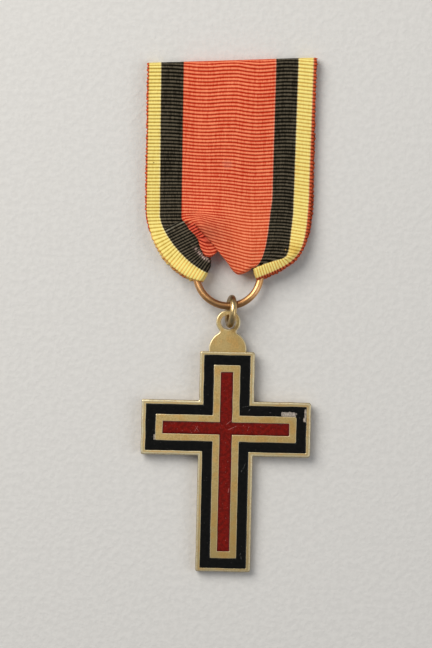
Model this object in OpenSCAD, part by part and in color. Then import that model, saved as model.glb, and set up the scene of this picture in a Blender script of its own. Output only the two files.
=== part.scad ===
/* [Cross] */
// Span of the side arms
span = 37.1; // [36:0.1:38]
// Middle of the arms to the top edge
top_arm = 16.85; // [16.5:0.05:17.2]
// Middle of the arms to the bottom edge
foot_arm = 31.45; // [30:0.05:32.5]
// Width of every arm
arm_w = 12; // [11.4:0.1:12.6]
// Thickness of the brass plate
plate_t = 2; // [1.9:0.05:2.3]
// Width of the raised rim along the arms
rim_w = 0.92; // [0.8:0.02:1]
// Width of the raised rim across the top and the foot
end_rim_w = 0.75; // [0.6:0.01:0.92]
// Width of the black enamel band
black_w = 2.2; // [2:0.05:2.4]
// Width of the brass band between the enamels
band_w = 1.52; // [1.4:0.02:1.6]
// Depth of the beds that hold the enamel
bed_depth = 0.6; // [0.5:0.05:0.7]
// How far the enamel lies below the rim
enamel_drop = 0.1; // [0.05:0.01:0.15]
// Gap around and below each enamel
fit_gap = 0.05; // [0.03:0.01:0.06]

/* [Lug] */
// Radius of the half-round shoulder
dome_r = 4.14; // [3.9:0.02:4.4]
// Height of the shoulder's middle above the cross
dome_rise = 0.44; // [0.3:0.02:0.6]
// Middle of the arms to the middle of the eye
eye_y = 23.35; // [23.3:0.05:23.45]
// Outer radius of the eye
eye_r = 2.66; // [2.6:0.02:2.7]
// Radius of the eye's hole
eye_hole_r = 1.6; // [1.56:0.02:1.64]
// Radius of the hollow corners between shoulder and eye
neck_r = 0.44; // [0.3:0.02:0.6]
// Thickness of the lug
lug_t = 1.05; // [0.9:0.05:1.1]
// How far the lug is set in from the back of the cross
lug_set_in = 0.4; // [0.38:0.01:0.45]

/* [Rings] */
// Mean radius of the suspension ring
big_r = 7; // [6.95:0.01:7.05]
// Thickness of the suspension ring's wire
big_wire = 1.6; // [1.5:0.02:1.64]
// Mean radius of the jump ring
jump_r = 2.9; // [2.86:0.01:2.94]
// Thickness of the jump ring's wire
jump_wire = 1.48; // [1.4:0.02:1.5]

/* [Ribbon] */
// Thickness of the cloth
cloth_t = 1; // [0.9:0.05:1.05]
// Space between the front and the back of the ribbon
slot = 0.5; // [0.4:0.05:0.8]
// Radius of the cloth's turn inside the suspension ring
turn_r = 0.8; // [0.5:0.05:0.9]

/* [Hidden] */
$fn = 64;

// The cross lies with its foot on the surface and its lug a little up, turned slightly clockwise
cross_at = [-0.7, -24.84, 0];
cross_turn = -1.32;
cross_tilt = 1.4;
// The suspension ring leans: its low end lies in the ribbon and its free end rests in the jump ring
big_at = [-0.13, 8.95, 2.675];
big_tilt = -5.9;
// The jump ring stands on edge
jump_lean = 10;
jump_yaw = -4.7;
jump_at = [0.4, 0.8, jump_r * cos(jump_lean) + jump_wire / 2];

// Insets of the outlines, from the outer edge of the cross
bed_in = rim_w;
island_in = rim_w + black_w;
red_in = rim_w + black_w + band_w;
bed_z = plate_t - bed_depth;
enamel_t = bed_depth - enamel_drop - fit_gap;
// How far the lug reaches into the top edge, less than the rim's width
lug_root = 0.4;
over = 1;

// Heights of the ribbon where it lies flat
back_top = cloth_t;
front_under = cloth_t + slot;
front_top = 2 * cloth_t + slot;
// The line of the top fold, from its height at x = 0 and its slope
top_y = 55.95;
top_slope = 0.031;

// The lengthwise lines of the ribbon, from the left edge to the right edge. Each runs straight from the
// top fold to where it starts to bend, then along a curve with two handles to where it turns under.
// top is the x at the top fold, the pairs are x and y, lift and under are the heights of the cloth's
// two sides at the turn, and hem is how far the inside of the turn lies from the outside.
TOP = 0;
START = 1;
PULL_A = 2;
PULL_B = 3;
END = 4;
LIFT = 5;
UNDER = 6;
HEM = 7;
LINES = [
    // top, start, pull a, pull b, end, lift, under, hem
    [-17.9, [-18.3, 24.2], [-18.3, 16.4], [-13.3, 8.8], [-4.9, 7.1], 4.8, 3.8, 1], // left edge
    [-14.9, [-15.1, 23.6], [-15.1, 17.4], [-9.8, 11.9], [-4.4, 9.2], 4.7, 3.7, 1], // yellow to black
    [-9.9, [-10.4, 22.7], [-10.2, 21.3], [-5.7, 14.3], [-3.4, 12], 4.3, 3.3, 1], // black to red
    [-9.5, [-9.9, 21.6], [-8.6, 20.4], [-4.9, 16.8], [-2.3, 13.5], 4.1, 3.1, 1], // foot of the pleat
    [-9.1, [-9.6, 22.2], [-8, 20.4], [-4.4, 17], [-1.8, 13.7], 5, 3.2, 1], // edge of the pleat
    [-5.3, [-6, 24.6], [-5.7, 19.8], [-0.7, 14.8], [-0.2, 11.6], 5.1, 3.4, 1.7], // flap
    [0.7, [-0.2, 25.3], [0.2, 19.1], [2.8, 13.2], [2.2, 8.9], 4.9, 3.6, 1.6], // tip of the flap
    [5.1, [4.4, 25.3], [4.4, 19.1], [4.5, 13.2], [4.1, 9.7], 4.8, 3.7, 1.3], // flap's short side
    [10.3, [9.5, 25.3], [9, 19.8], [7.9, 12.1], [4.5, 10.6], 4.6, 3.6, 1], // red to black
    [15.2, [14, 22], [13.6, 14.2], [12.1, 13.4], [4.5, 10.1], 4.5, 3.5, 1], // black, under the fold
    [15.4, [14.3, 22], [13.9, 13.9], [12.5, 12.9], [4.5, 9.8], 4.9, 3.7, 1], // yellow, over the fold
    [19.2, [18.3, 25.3], [17.6, 16.5], [15.6, 8.7], [4.5, 7.7], 4.8, 3.8, 1] // right edge
];
// Lanes between two lines, and steps along the straight and the bent stretches
LANES = 2;
FLAT_STEPS = 4;
BEND_STEPS = 14;
BACK_FLAT_STEPS = 2;
BACK_BEND_STEPS = 8;
TURN_STEPS = 4;
// The rise to the suspension ring is over after this share of the bend
RISE_SHARE = 0.75;

// Any value of the table at a lane, counted from the left edge
function lane_value(lane, column) =
    let (row = min(floor(lane / LANES), len(LINES) - 2))
    let (share = lane / LANES - row)
    LINES[row][column] * (1 - share) + LINES[row + 1][column] * share;

// A lane as one row of the table, with the top fold as a point
function lane_row(lane) =
    let (x = lane_value(lane, TOP))
    [
        [x, top_y + top_slope * x],
        for (column = [START:HEM]) lane_value(lane, column)
    ];

// A point of a lane: s runs from -1 at the top fold to 0 at the start of the bend and 1 at the turn
function plan_at(row, s) =
    s < 0
    ? row[TOP] * -s + row[START] * (1 + s)
    : row[START] * pow(1 - s, 3) + row[PULL_A] * 3 * s * pow(1 - s, 2)
        + row[PULL_B] * 3 * s * s * (1 - s) + row[END] * pow(s, 3);

function smooth(t) = let (c = max(0, min(1, t))) c * c * (3 - 2 * c);

// A height that rises from its flat value to its value at the turn
function height_at(s, flat, turned) = flat + (turned - flat) * smooth(s / RISE_SHARE);

// The share of the bend that lies a short way before the turn
function before_end(row, way) = 1 - way / (3 * norm(row[END] - row[PULL_B]));

// The share of the straight stretch that lies a short way before the top fold
function before_top(row, way) = -1 + way / norm(row[TOP] - row[START]);

// Steps from the turn up to the top fold, both ends left out
function steps_up(bottom, top, bend_steps, flat_steps) = [
    for (i = [bend_steps - 1:-1:1]) bottom * i / bend_steps,
    for (i = [0:flat_steps - 1]) top * i / flat_steps
];

function reversed(list) = [for (i = [len(list) - 1:-1:0]) list[i]];

// The closed outer line of a lane: up the front, over the top fold, down the back, and round the turn
function outer_line(row) =
    let (fold_r = front_top / 2)
    let (way = (row[END] - row[PULL_B]) / norm(row[END] - row[PULL_B]))
    let (front = steps_up(before_end(row, turn_r), before_top(row, fold_r), BEND_STEPS, FLAT_STEPS))
    let (back = reversed(
        steps_up(before_end(row, turn_r), before_top(row, fold_r), BACK_BEND_STEPS, BACK_FLAT_STEPS)
    ))
    let (fold_middle = plan_at(row, before_top(row, fold_r)))
    let (turn_middle = row[END] - way * turn_r)
    [
        for (s = front) [each plan_at(row, s), height_at(s, front_top, row[LIFT])],
        for (i = [0:2 * TURN_STEPS])
            let (a = 90 * i / TURN_STEPS)
            [fold_middle[0], fold_middle[1] + fold_r * sin(a), fold_r + fold_r * cos(a)],
        for (s = back) [each plan_at(row, s), 0],
        for (i = [0:TURN_STEPS])
            let (a = 90 * i / TURN_STEPS)
            [each (turn_middle + way * turn_r * sin(a)), turn_r - turn_r * cos(a)],
        for (i = [0:TURN_STEPS])
            let (a = 90 * i / TURN_STEPS)
            [each (turn_middle + way * turn_r * cos(a)), row[LIFT] - turn_r + turn_r * sin(a)]
    ];

// The closed inner line of a lane, with a point for each point of the outer one
function inner_line(row) =
    let (low = before_end(row, row[HEM]))
    let (high = before_top(row, cloth_t))
    let (front = steps_up(low, high, BEND_STEPS, FLAT_STEPS))
    let (back = reversed(steps_up(low, high, BACK_BEND_STEPS, BACK_FLAT_STEPS)))
    let (ends = 2 * TURN_STEPS + 1)
    [
        for (s = front) [each plan_at(row, s), height_at(s, front_under, row[UNDER])],
        for (i = [0:2 * TURN_STEPS])
            [each plan_at(row, high), front_under - slot * i / (2 * TURN_STEPS)],
        for (s = back) [each plan_at(row, s), back_top],
        for (i = [0:ends])
            [each plan_at(row, low), back_top + (row[UNDER] - back_top) * i / ends]
    ];

// Faces of a wall between closed lines: the outer lines come first, then the inner ones
function wall_faces(lines, points) =
    let (inner = lines * points)
    [
        for (lane = [0:lines - 2])
            for (i = [0:points - 1])
                let (j = (i + 1) % points)
                let (a = lane * points + i)
                let (b = lane * points + j)
                let (c = a + points)
                let (d = b + points)
                each [
                    [a, b, d],
                    [a, d, c],
                    [inner + a, inner + d, inner + b],
                    [inner + a, inner + c, inner + d]
                ],
        for (i = [0:points - 1])
            let (j = (i + 1) % points)
            each [
                [i, inner + i, inner + j],
                [i, inner + j, j]
            ],
        for (i = [0:points - 1])
            let (first = (lines - 1) * points)
            let (a = first + i)
            let (b = first + (i + 1) % points)
            each [
                [a, inner + b, inner + a],
                [a, b, inner + b]
            ]
    ];

module ribbon() {
    lanes = (len(LINES) - 1) * LANES;
    rows = [for (lane = [0:lanes]) lane_row(lane)];
    outer = [for (row = rows) outer_line(row)];
    inner = [for (row = rows) inner_line(row)];
    color("indianred")
        polyhedron(
            points = [for (line = outer) each line, for (line = inner) each line],
            faces = wall_faces(lanes + 1, len(outer[0])),
            convexity = 6
        );
}

// A wire ring round the Z axis
module wire_ring(mean_r, wire) {
    rotate_extrude()
        translate([mean_r, 0])
            circle(d = wire);
}

module suspension_ring() {
    color("peru")
        translate(big_at)
            rotate([big_tilt, 0, 0])
                wire_ring(big_r, big_wire);
}

module jump_ring() {
    color("darkgoldenrod")
        translate(jump_at)
            rotate([0, jump_lean, jump_yaw])
                rotate([0, 90, 0])
                    wire_ring(jump_r, jump_wire);
}

// Puts a piece of the cross, drawn flat with its back at z = 0, where the cross lies
module cross_place() {
    translate(cross_at)
        rotate([0, 0, cross_turn])
            translate([0, -foot_arm, 0])
                rotate([cross_tilt, 0, 0])
                    translate([0, foot_arm, 0])
                        children();
}

// The outline of the cross, drawn in by an inset on every side
module cross_outline(inset) {
    end_inset = inset > 0 ? inset - rim_w + end_rim_w : 0;
    a = arm_w / 2 - inset;
    side = span / 2 - inset;
    top = top_arm - end_inset;
    foot = foot_arm - end_inset;
    polygon([
        [-a, top], [-a, a], [-side, a], [-side, -a], [-a, -a], [-a, -foot],
        [a, -foot], [a, -a], [side, -a], [side, a], [a, a], [a, top]
    ]);
}

module cross_slab(inset, bottom, height) {
    translate([0, 0, bottom])
        linear_extrude(height)
            cross_outline(inset);
}

// The half-round shoulder and the eye above it, joined by a neck with hollow corners
module lug() {
    dome_y = top_arm + dome_rise;
    reach = eye_y - dome_y;
    far = dome_r + neck_r;
    near = eye_r + neck_r;
    along = (far * far - near * near + reach * reach) / (2 * reach);
    aside = sqrt(far * far - along * along);
    translate([0, 0, lug_set_in])
        difference() {
            union() {
                intersection() {
                    translate([0, dome_y, 0])
                        cylinder(h = lug_t, r = dome_r);
                    translate([-2 * dome_r, top_arm - lug_root, -over])
                        cube([4 * dome_r, 2 * dome_r, lug_t + 2 * over]);
                }
                translate([0, eye_y, 0])
                    cylinder(h = lug_t, r = eye_r);
                difference() {
                    linear_extrude(lug_t)
                        polygon([
                            [0, dome_y], [aside, dome_y + along], [0, eye_y], [-aside, dome_y + along]
                        ]);
                    for (side = [-1, 1])
                        translate([side * aside, dome_y + along, -over])
                            cylinder(h = lug_t + 2 * over, r = neck_r);
                }
            }
            translate([0, eye_y, -over])
                cylinder(h = lug_t + 2 * over, r = eye_hole_r);
        }
}

module cross_body() {
    color("darkkhaki")
        cross_place()
            union() {
                difference() {
                    cross_slab(0, 0, plate_t);
                    difference() {
                        cross_slab(bed_in, bed_z, bed_depth + over);
                        cross_slab(island_in, bed_z - over, bed_depth + 3 * over);
                    }
                    cross_slab(red_in, bed_z, bed_depth + over);
                }
                lug();
            }
}

module black_enamel() {
    color("black")
        cross_place()
            difference() {
                cross_slab(bed_in + fit_gap, bed_z + fit_gap, enamel_t);
                cross_slab(island_in - fit_gap, bed_z - over, enamel_t + 3 * over);
            }
}

module red_enamel() {
    color("darkred")
        cross_place()
            cross_slab(red_in + fit_gap, bed_z + fit_gap, enamel_t);
}

ribbon();
suspension_ring();
jump_ring();
cross_body();
black_enamel();
red_enamel();
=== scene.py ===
"""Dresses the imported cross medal: a corded ribbon, two wire rings, and a brass cross with its enamel."""

import logging
import math
from dataclasses import dataclass, field
from enum import Enum

import bpy
import numpy as np
from numpy.typing import NDArray
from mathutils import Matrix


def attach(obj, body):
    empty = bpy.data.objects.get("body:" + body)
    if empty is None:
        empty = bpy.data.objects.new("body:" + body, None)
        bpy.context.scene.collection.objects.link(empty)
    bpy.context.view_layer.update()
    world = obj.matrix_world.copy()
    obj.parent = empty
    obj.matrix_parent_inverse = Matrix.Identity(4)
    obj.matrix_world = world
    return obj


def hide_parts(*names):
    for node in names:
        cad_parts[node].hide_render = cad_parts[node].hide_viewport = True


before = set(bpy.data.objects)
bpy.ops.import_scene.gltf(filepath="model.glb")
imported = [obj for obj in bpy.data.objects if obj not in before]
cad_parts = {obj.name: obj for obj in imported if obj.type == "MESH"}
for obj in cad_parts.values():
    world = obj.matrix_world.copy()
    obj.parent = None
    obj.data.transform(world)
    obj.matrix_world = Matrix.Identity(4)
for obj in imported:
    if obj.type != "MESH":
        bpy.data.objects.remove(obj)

Array = NDArray[np.float64]
Indices = NDArray[np.int64]
Colour = tuple[float, float, float, float]
Socket = bpy.types.NodeSocket

BODY = "root"
log = logging.getLogger("cross_medal")

# One millimetre in metres, and the millimetres that one unit of a piece's map stands for.
MM = 0.001
MAP_MM = 100

# The most that a dye may say for how narrow its crests look. A ramp's alpha holds the share of it.
NARROWEST = 8.0

# Places across the ribbon from its left edge, in millimetres: where stripes start, where the left strip
# ends and the flap over it starts, the lane on which the right edge folds, and the whole width.
LEFT_BLACK = 3.96
LEFT_RED = 9.02
STRIP_END = 9.1
FLAP_START = 10.9
RIGHT_BLACK = 29.04
RIGHT_YELLOW = 34.2
RIGHT_FOLD = 34.3
RIGHT_HEM = 37.3
WIDTH = 38.06


def srgb(red: float, green: float, blue: float) -> Colour:
    """Linear colour of a screen colour.

    Args:
        red, green, blue: screen values from 0 to 255.

    Returns:
        The linear colour with full alpha.
    """
    value = np.array([red, green, blue]) / 255
    value = np.where(value <= 0.04045, value / 12.92, ((value + 0.055) / 1.055) ** 2.4)
    return (float(value[0]), float(value[1]), float(value[2]), 1.0)


def smooth(t: Array) -> Array:
    """Rise from 0 to 1 with level ends: three t squared less two t cubed, clamped."""
    t = np.clip(t, 0, 1)
    return t * t * (3 - 2 * t)


def bell(*parts: Array) -> Array:
    """1 where all parts are 0, and fading away: e to the power of minus the sum of their squares."""
    return np.exp(-sum(part * part for part in parts))


def spread(*parts: Array | float) -> Array:
    """Coordinates side by side in a last axis, each spread over their common grid."""
    return np.stack(np.broadcast_arrays(*parts), axis=-1)


def monotone(knots: Array, values: Array, at: Array) -> Array:
    """Cubic curves through a table's rows that never overshoot between two rows.

    Each row's slope is the weighted harmonic mean of the slopes beside it, or zero where they turn round,
    and between two rows runs the cubic with those two slopes.

    Args:
        knots: rising position of each row.
        values: the rows, one column for each curve.
        at: positions to read.

    Returns:
        One row for each position.
    """
    gaps = np.diff(knots)[:, None]
    slopes = np.diff(values, axis=0) / gaps
    before, after = slopes[:-1], slopes[1:]
    one, two = 2 * gaps[1:] + gaps[:-1], gaps[1:] + 2 * gaps[:-1]
    same = before * after > 0
    mean = (one + two) / (one / np.where(same, before, 1) + two / np.where(same, after, 1))
    tangents = np.vstack([slopes[:1], np.where(same, mean, 0), slopes[-1:]])
    i = np.clip(np.searchsorted(knots, at, side="right") - 1, 0, len(knots) - 2)
    gap = gaps[i]
    t = (at - knots[i])[:, None] / gap
    return (
        values[i] * (1 + 2 * t) * (1 - t) ** 2
        + tangents[i] * gap * t * (1 - t) ** 2
        + values[i + 1] * t * t * (3 - 2 * t)
        + tangents[i + 1] * gap * t * t * (t - 1)
    )


def ripple(points: Array, length: float, seed: int) -> Array:
    """Soft unevenness between about -1 and 1: the mean of six sine waves of random direction and phase.

    Args:
        points: places, with their coordinates in the last axis.
        length: typical wave length in millimetres.
        seed: seed of the directions and phases.

    Returns:
        One value for each place.
    """
    random = np.random.default_rng(seed)
    waves = random.normal(size=(points.shape[-1], 6))
    waves *= 2 * math.pi / (length * np.linalg.norm(waves, axis=0))
    return np.sin(points @ waves + random.uniform(0, 2 * math.pi, 6)).mean(axis=-1) * 1.6


def turned(axis: str, degrees: float) -> Array:
    """The matrix of a right-handed turn about one axis.

    Args:
        axis: x, y or z.
        degrees: the angle.

    Returns:
        The 3 by 3 matrix.
    """
    c, s = math.cos(math.radians(degrees)), math.sin(math.radians(degrees))
    i, j = {"x": (1, 2), "y": (2, 0), "z": (0, 1)}[axis]
    made = np.eye(3)
    made[i, i] = made[j, j] = c
    made[i, j], made[j, i] = -s, s
    return made


def grid_quads(rows: int, columns: int, close_rows: bool) -> Indices:
    """Quads between the neighbours of a grid that closes sideways and is numbered row by row.

    Args:
        rows, columns: points each way.
        close_rows: whether the last row joins the first.

    Returns:
        Four point numbers for each quad.
    """
    last = rows if close_rows else rows - 1
    row, column = np.meshgrid(np.arange(last), np.arange(columns), indexing="ij")
    below, beside = (row + 1) % rows, (column + 1) % columns
    corners = ((row, column), (row, beside), (below, beside), (below, column))
    return np.stack([down * columns + over for down, over in corners], axis=-1).reshape(-1, 4)


def grid_corners(*parts: Array) -> Array:
    """Map values at the corners of a closed grid's quads, from a grid with one more row and column.

    Args:
        parts: the map's two values in millimetres, on that larger grid.

    Returns:
        Two map values for each corner.
    """
    values = spread(*parts) / MAP_MM
    corners = [values[:-1, :-1], values[:-1, 1:], values[1:, 1:], values[1:, :-1]]
    return np.stack(corners, axis=2).reshape(-1, 2)


def enter(name: str, data: bpy.types.ID) -> bpy.types.Object:
    """Puts a mesh, a light or a camera into the scene.

    Args:
        name: name of the object.
        data: what it shows.

    Returns:
        The object.
    """
    made = bpy.data.objects.new(name, data)
    bpy.context.scene.collection.objects.link(made)
    return made


@dataclass
class Shell:
    """A closed mesh in the making, in millimetres.

    Attributes:
        points: the places of its points.
        quads: four point numbers for each quad.
        corners: map values, for the corners of the quads and then of the flat faces.
        values: named values on the points.
        rims: point numbers of each flat many-sided face.
    """

    points: Array
    quads: Indices
    corners: Array
    values: dict[str, Array]
    rims: list[Indices] = field(default_factory=list)

    def volume(self) -> float:
        """Signed volume: a sixth of the summed triple products of all triangles.

        Returns:
            The volume in cubic millimetres, negative if the faces point inwards.
        """
        fans = [self.quads[:, [0, 1, 2]], self.quads[:, [0, 2, 3]]]
        fans += [spread(rim[0], rim[1:-1], rim[2:]) for rim in self.rims]
        a, b, c = np.moveaxis(self.points[np.vstack(fans)], 1, 0)
        return float(np.einsum("ij,ij->i", a, np.cross(b, c)).sum() / 6)

    def face_outward(self) -> None:
        """Turns every face round if the volume is negative."""
        if self.volume() >= 0:
            return
        ends = np.cumsum([4 * len(self.quads), *(len(rim) for rim in self.rims)])
        corners = np.split(self.corners, ends[:-1])
        quads = corners[0].reshape(-1, 4, 2)[:, ::-1].reshape(-1, 2)
        self.corners = np.vstack([quads, *(flat[::-1] for flat in corners[1:])])
        self.quads = self.quads[:, ::-1]
        self.rims = [rim[::-1] for rim in self.rims]

    def piece(self, name: str, finish: "Finish", node: str) -> bpy.types.Object:
        """Makes the Blender object, with a map named plan and the named values.

        It rides on the medal and stands for a CAD node, which it hides.

        Args:
            name: name of the object.
            finish: its finish.
            node: the CAD node.

        Returns:
            The object, at the origin.
        """
        self.face_outward()
        mesh = bpy.data.meshes.new(name)
        faces = self.quads.tolist() + [rim.tolist() for rim in self.rims]
        mesh.from_pydata((self.points * MM).tolist(), [], faces)
        mesh.polygons.foreach_set("use_smooth", np.arange(len(faces)) < len(self.quads))
        layer = mesh.uv_layers.new(name="plan")
        layer.uv.foreach_set("vector", self.corners.astype(np.float32).ravel())
        for key, value in self.values.items():
            attribute = mesh.attributes.new(key, "FLOAT", "POINT")
            attribute.data.foreach_set("value", value.astype(np.float32).ravel())
        mesh.materials.append(finish.material())
        mesh.update()
        piece = enter(name, mesh)
        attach(piece, BODY)
        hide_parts(node)
        log.info("%s: %d points, %d faces", name, len(self.points), len(faces))
        return piece


class Bench:
    """Makes and joins nodes in one node tree."""

    def __init__(self, tree: bpy.types.NodeTree) -> None:
        """Works on the given tree."""
        self.tree = tree

    def feed(self, node: bpy.types.Node, inputs: dict) -> None:
        """Links an output to each named or numbered input of a node, or sets the input's value.

        Args:
            node: the node.
            inputs: a value or another node's output for each of its inputs.
        """
        for key, value in inputs.items():
            if isinstance(value, Socket):
                self.tree.links.new(value, node.inputs[key])
            else:
                node.inputs[key].default_value = value

    def add(self, kind: str, inputs: dict | None = None, **settings: object) -> bpy.types.Node:
        """Adds a node.

        Args:
            kind: the node's type.
            inputs: a value or another node's output for each named or numbered input.
            settings: properties of the node.

        Returns:
            The node.
        """
        node = self.tree.nodes.new(kind)
        for key, value in settings.items():
            setattr(node, key, value)
        self.feed(node, inputs or {})
        return node

    def math(self, operation: str, *values: object, clamp: bool = False) -> Socket:
        """Adds a Math node and returns its output."""
        node = self.add("ShaderNodeMath", dict(enumerate(values)), operation=operation, use_clamp=clamp)
        return node.outputs[0]

    def times(self, first: object, second: object) -> Socket:
        """One value times another."""
        return self.math("MULTIPLY", first, second)

    def line(self, value: object, slope: object, start: object) -> Socket:
        """A value times a slope, and a start added."""
        return self.math("MULTIPLY_ADD", value, slope, start)

    def vector(self, operation: str, first: object, second: object) -> Socket:
        """Adds a Vector Math node and returns its output."""
        return self.add("ShaderNodeVectorMath", {0: first, 1: second}, operation=operation).outputs[0]

    def mix(self, factor: object, first: object, second: object) -> Socket:
        """Adds a colour mix and returns its output."""
        return self.add("ShaderNodeMix", {0: factor, 6: first, 7: second}, data_type="RGBA").outputs[2]

    def noise(self, vector: Socket, scale: float, detail: float = 3.0) -> Socket:
        """Adds a Noise texture and returns its value."""
        node = self.add("ShaderNodeTexNoise", {"Vector": vector, "Scale": scale, "Detail": detail})
        return node.outputs[0]

    def remap(
        self, value: Socket, low: object, high: float, to_low: float = 0.0, to_high: float = 1.0
    ) -> Socket:
        """Adds a smooth, clamped Map Range and returns its output."""
        inputs = {0: value, 1: low, 2: high, 3: to_low, 4: to_high}
        return self.add("ShaderNodeMapRange", inputs, interpolation_type="SMOOTHSTEP").outputs[0]

    def scaled(self, vector: Socket, x: float, y: float, z: float) -> Socket:
        """Multiplies a vector's parts and returns the result."""
        return self.vector("MULTIPLY", vector, (x, y, z))

    def parts(self, vector: Socket) -> tuple[Socket, Socket]:
        """The first two parts of a vector."""
        node = self.add("ShaderNodeSeparateXYZ", {0: vector})
        return node.outputs[0], node.outputs[1]


class Effect(Enum):
    """Effects that several finishes share, each a node group that is built once."""

    AGED_METAL = "aged_metal"
    HANDLED_GLOSS = "handled_gloss"
    WORN_PATCH = "worn_patch"
    SCRATCH = "scratch"

    def group(self) -> bpy.types.NodeTree:
        """The effect's node group, built at its first use.

        Returns:
            The group's node tree.
        """
        found = bpy.data.node_groups.get(self.value)
        if found:
            return found
        tree = bpy.data.node_groups.new(self.value, "ShaderNodeTree")
        {
            Effect.AGED_METAL: self._aged_metal,
            Effect.HANDLED_GLOSS: self._handled_gloss,
            Effect.WORN_PATCH: self._worn_patch,
            Effect.SCRATCH: self._scratch,
        }[self](tree)
        return tree

    def place(self, bench: Bench, inputs: dict) -> bpy.types.Node:
        """Puts the effect into a material, with a value or output for each input, and returns its node."""
        return bench.add("ShaderNodeGroup", inputs, node_tree=self.group())

    @staticmethod
    def _sockets(tree: bpy.types.NodeTree, inputs: dict[str, str], outputs: dict[str, str]) -> tuple:
        """Names a group's sockets.

        Args:
            tree: the group.
            inputs: kind of each named input.
            outputs: kind of each named output.

        Returns:
            A bench, the group's inputs and its output node.
        """
        for way, sockets in (("INPUT", inputs), ("OUTPUT", outputs)):
            for name, kind in sockets.items():
                tree.interface.new_socket(name, in_out=way, socket_type=f"NodeSocket{kind}")
        bench = Bench(tree)
        return bench, bench.add("NodeGroupInput").outputs, bench.add("NodeGroupOutput")

    @classmethod
    def _aged_metal(cls, tree: bpy.types.NodeTree) -> None:
        """Tarnish in soft clouds and fine specks, warmer spots, bright worn edges, scratches both ways.

        Args:
            tree: the group's node tree.
        """
        bench, given, end = cls._sockets(
            tree,
            {
                "Vector": "Vector", "Edge": "Float", "Base": "Color", "Tarnish": "Color", "Warm": "Color",
                "Bright": "Color", "Amount": "Float", "Roughness": "Float",
            },
            {"Color": "Color", "Roughness": "Float", "Height": "Float"},
        )
        place = given["Vector"]
        clouds, specks, fine = (bench.noise(place, *way) for way in ((0.22, 4), (2.6, 4), (9.0, 2)))
        stain = bench.line(clouds, 0.5, bench.times(specks, 0.5))
        stain = bench.times(bench.remap(stain, 0.4, 0.64), given["Amount"])
        rubbed = bench.times(given["Edge"], bench.remap(specks, 0.3, 0.55, 0.45, 1.0))
        stain = bench.times(stain, bench.math("SUBTRACT", 1.0, rubbed))
        warmth = bench.remap(bench.noise(place, 0.42, 2), 0.46, 0.64)
        colour = bench.mix(bench.times(warmth, 0.45), given["Base"], given["Warm"])
        colour = bench.mix(stain, colour, given["Tarnish"])
        colour = bench.mix(rubbed, colour, given["Bright"])
        along = bench.remap(bench.noise(bench.scaled(place, 0.6, 14, 6), 1.0), 0.56, 0.68)
        across = bench.remap(bench.noise(bench.scaled(place, 13, 0.7, 6), 1.0), 0.58, 0.7)
        rough = given["Roughness"]
        for layer, weight in ((stain, 0.18), (fine, 0.08), (rubbed, -0.08)):
            rough = bench.line(layer, weight, rough)
        height = bench.times(fine, 0.4)
        for layer, weight in ((along, -0.35), (across, -0.35), (specks, 0.9)):
            height = bench.line(layer, weight, height)
        bench.feed(end, {"Color": colour, "Roughness": rough, "Height": height})

    @classmethod
    def _handled_gloss(cls, tree: bpy.types.NodeTree) -> None:
        """A glossy skin with soft waves, tiny pits and pale dust in them, and hair scratches.

        Args:
            tree: the group's node tree.
        """
        bench, given, end = cls._sockets(
            tree,
            {"Vector": "Vector", "Roughness": "Float", "Wear": "Float"},
            {"Dust": "Float", "Roughness": "Float", "Height": "Float"},
        )
        place, wear = given["Vector"], given["Wear"]
        cells = bench.add("ShaderNodeTexVoronoi", {"Vector": place, "Scale": 1.5}, feature="F1")
        pit = bench.remap(cells.outputs["Distance"], 0.1, 0.2, 1.0, 0.0)
        pit = bench.times(bench.times(pit, bench.remap(bench.noise(place, 1.1, 1), 0.52, 0.62)), wear)
        turned_way = bench.add(
            "ShaderNodeMapping", {"Vector": place, "Rotation": (0, 0, 0.7), "Scale": (0.5, 16, 1)}
        )
        hair = bench.times(bench.remap(bench.noise(turned_way.outputs[0], 1.0, 2), 0.66, 0.74), wear)
        dust = bench.math("MAXIMUM", pit, bench.times(hair, 0.5))
        rough = bench.line(bench.noise(place, 3.0), 0.12, given["Roughness"])
        rough = bench.line(dust, 0.35, rough)
        height = bench.line(dust, -0.4, bench.times(bench.noise(place, 0.5, 2), 1.6))
        bench.feed(end, {"Dust": dust, "Roughness": rough, "Height": height})

    @classmethod
    def _worn_patch(cls, tree: bpy.types.NodeTree) -> None:
        """A patch with ragged edges: 1 inside the given half sizes, 0 outside.

        Its outline is the curve of the two distances, each over its half size, raised to the squareness.

        Args:
            tree: the group's node tree.
        """
        bench, given, end = cls._sockets(
            tree,
            {
                "Vector": "Vector", "Centre": "Vector", "Half Size": "Vector", "Ragged": "Float",
                "Squareness": "Float", "Softness": "Float",
            },
            {"Mask": "Float"},
        )
        apart = bench.vector("SUBTRACT", given["Vector"], given["Centre"])
        parts = bench.parts(bench.vector("DIVIDE", apart, given["Half Size"]))
        power = given["Squareness"]
        raised = [bench.math("POWER", bench.math("ABSOLUTE", part), power) for part in parts]
        reach = bench.math("POWER", bench.math("ADD", *raised), bench.math("DIVIDE", 1.0, power))
        jag = bench.math("SUBTRACT", bench.noise(given["Vector"], 2.4, 4), 0.5)
        reach = bench.line(jag, given["Ragged"], reach)
        inner = bench.math("SUBTRACT", 1.0, given["Softness"])
        bench.feed(end, {"Mask": bench.remap(reach, inner, 1.0, 1.0, 0.0)})

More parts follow.
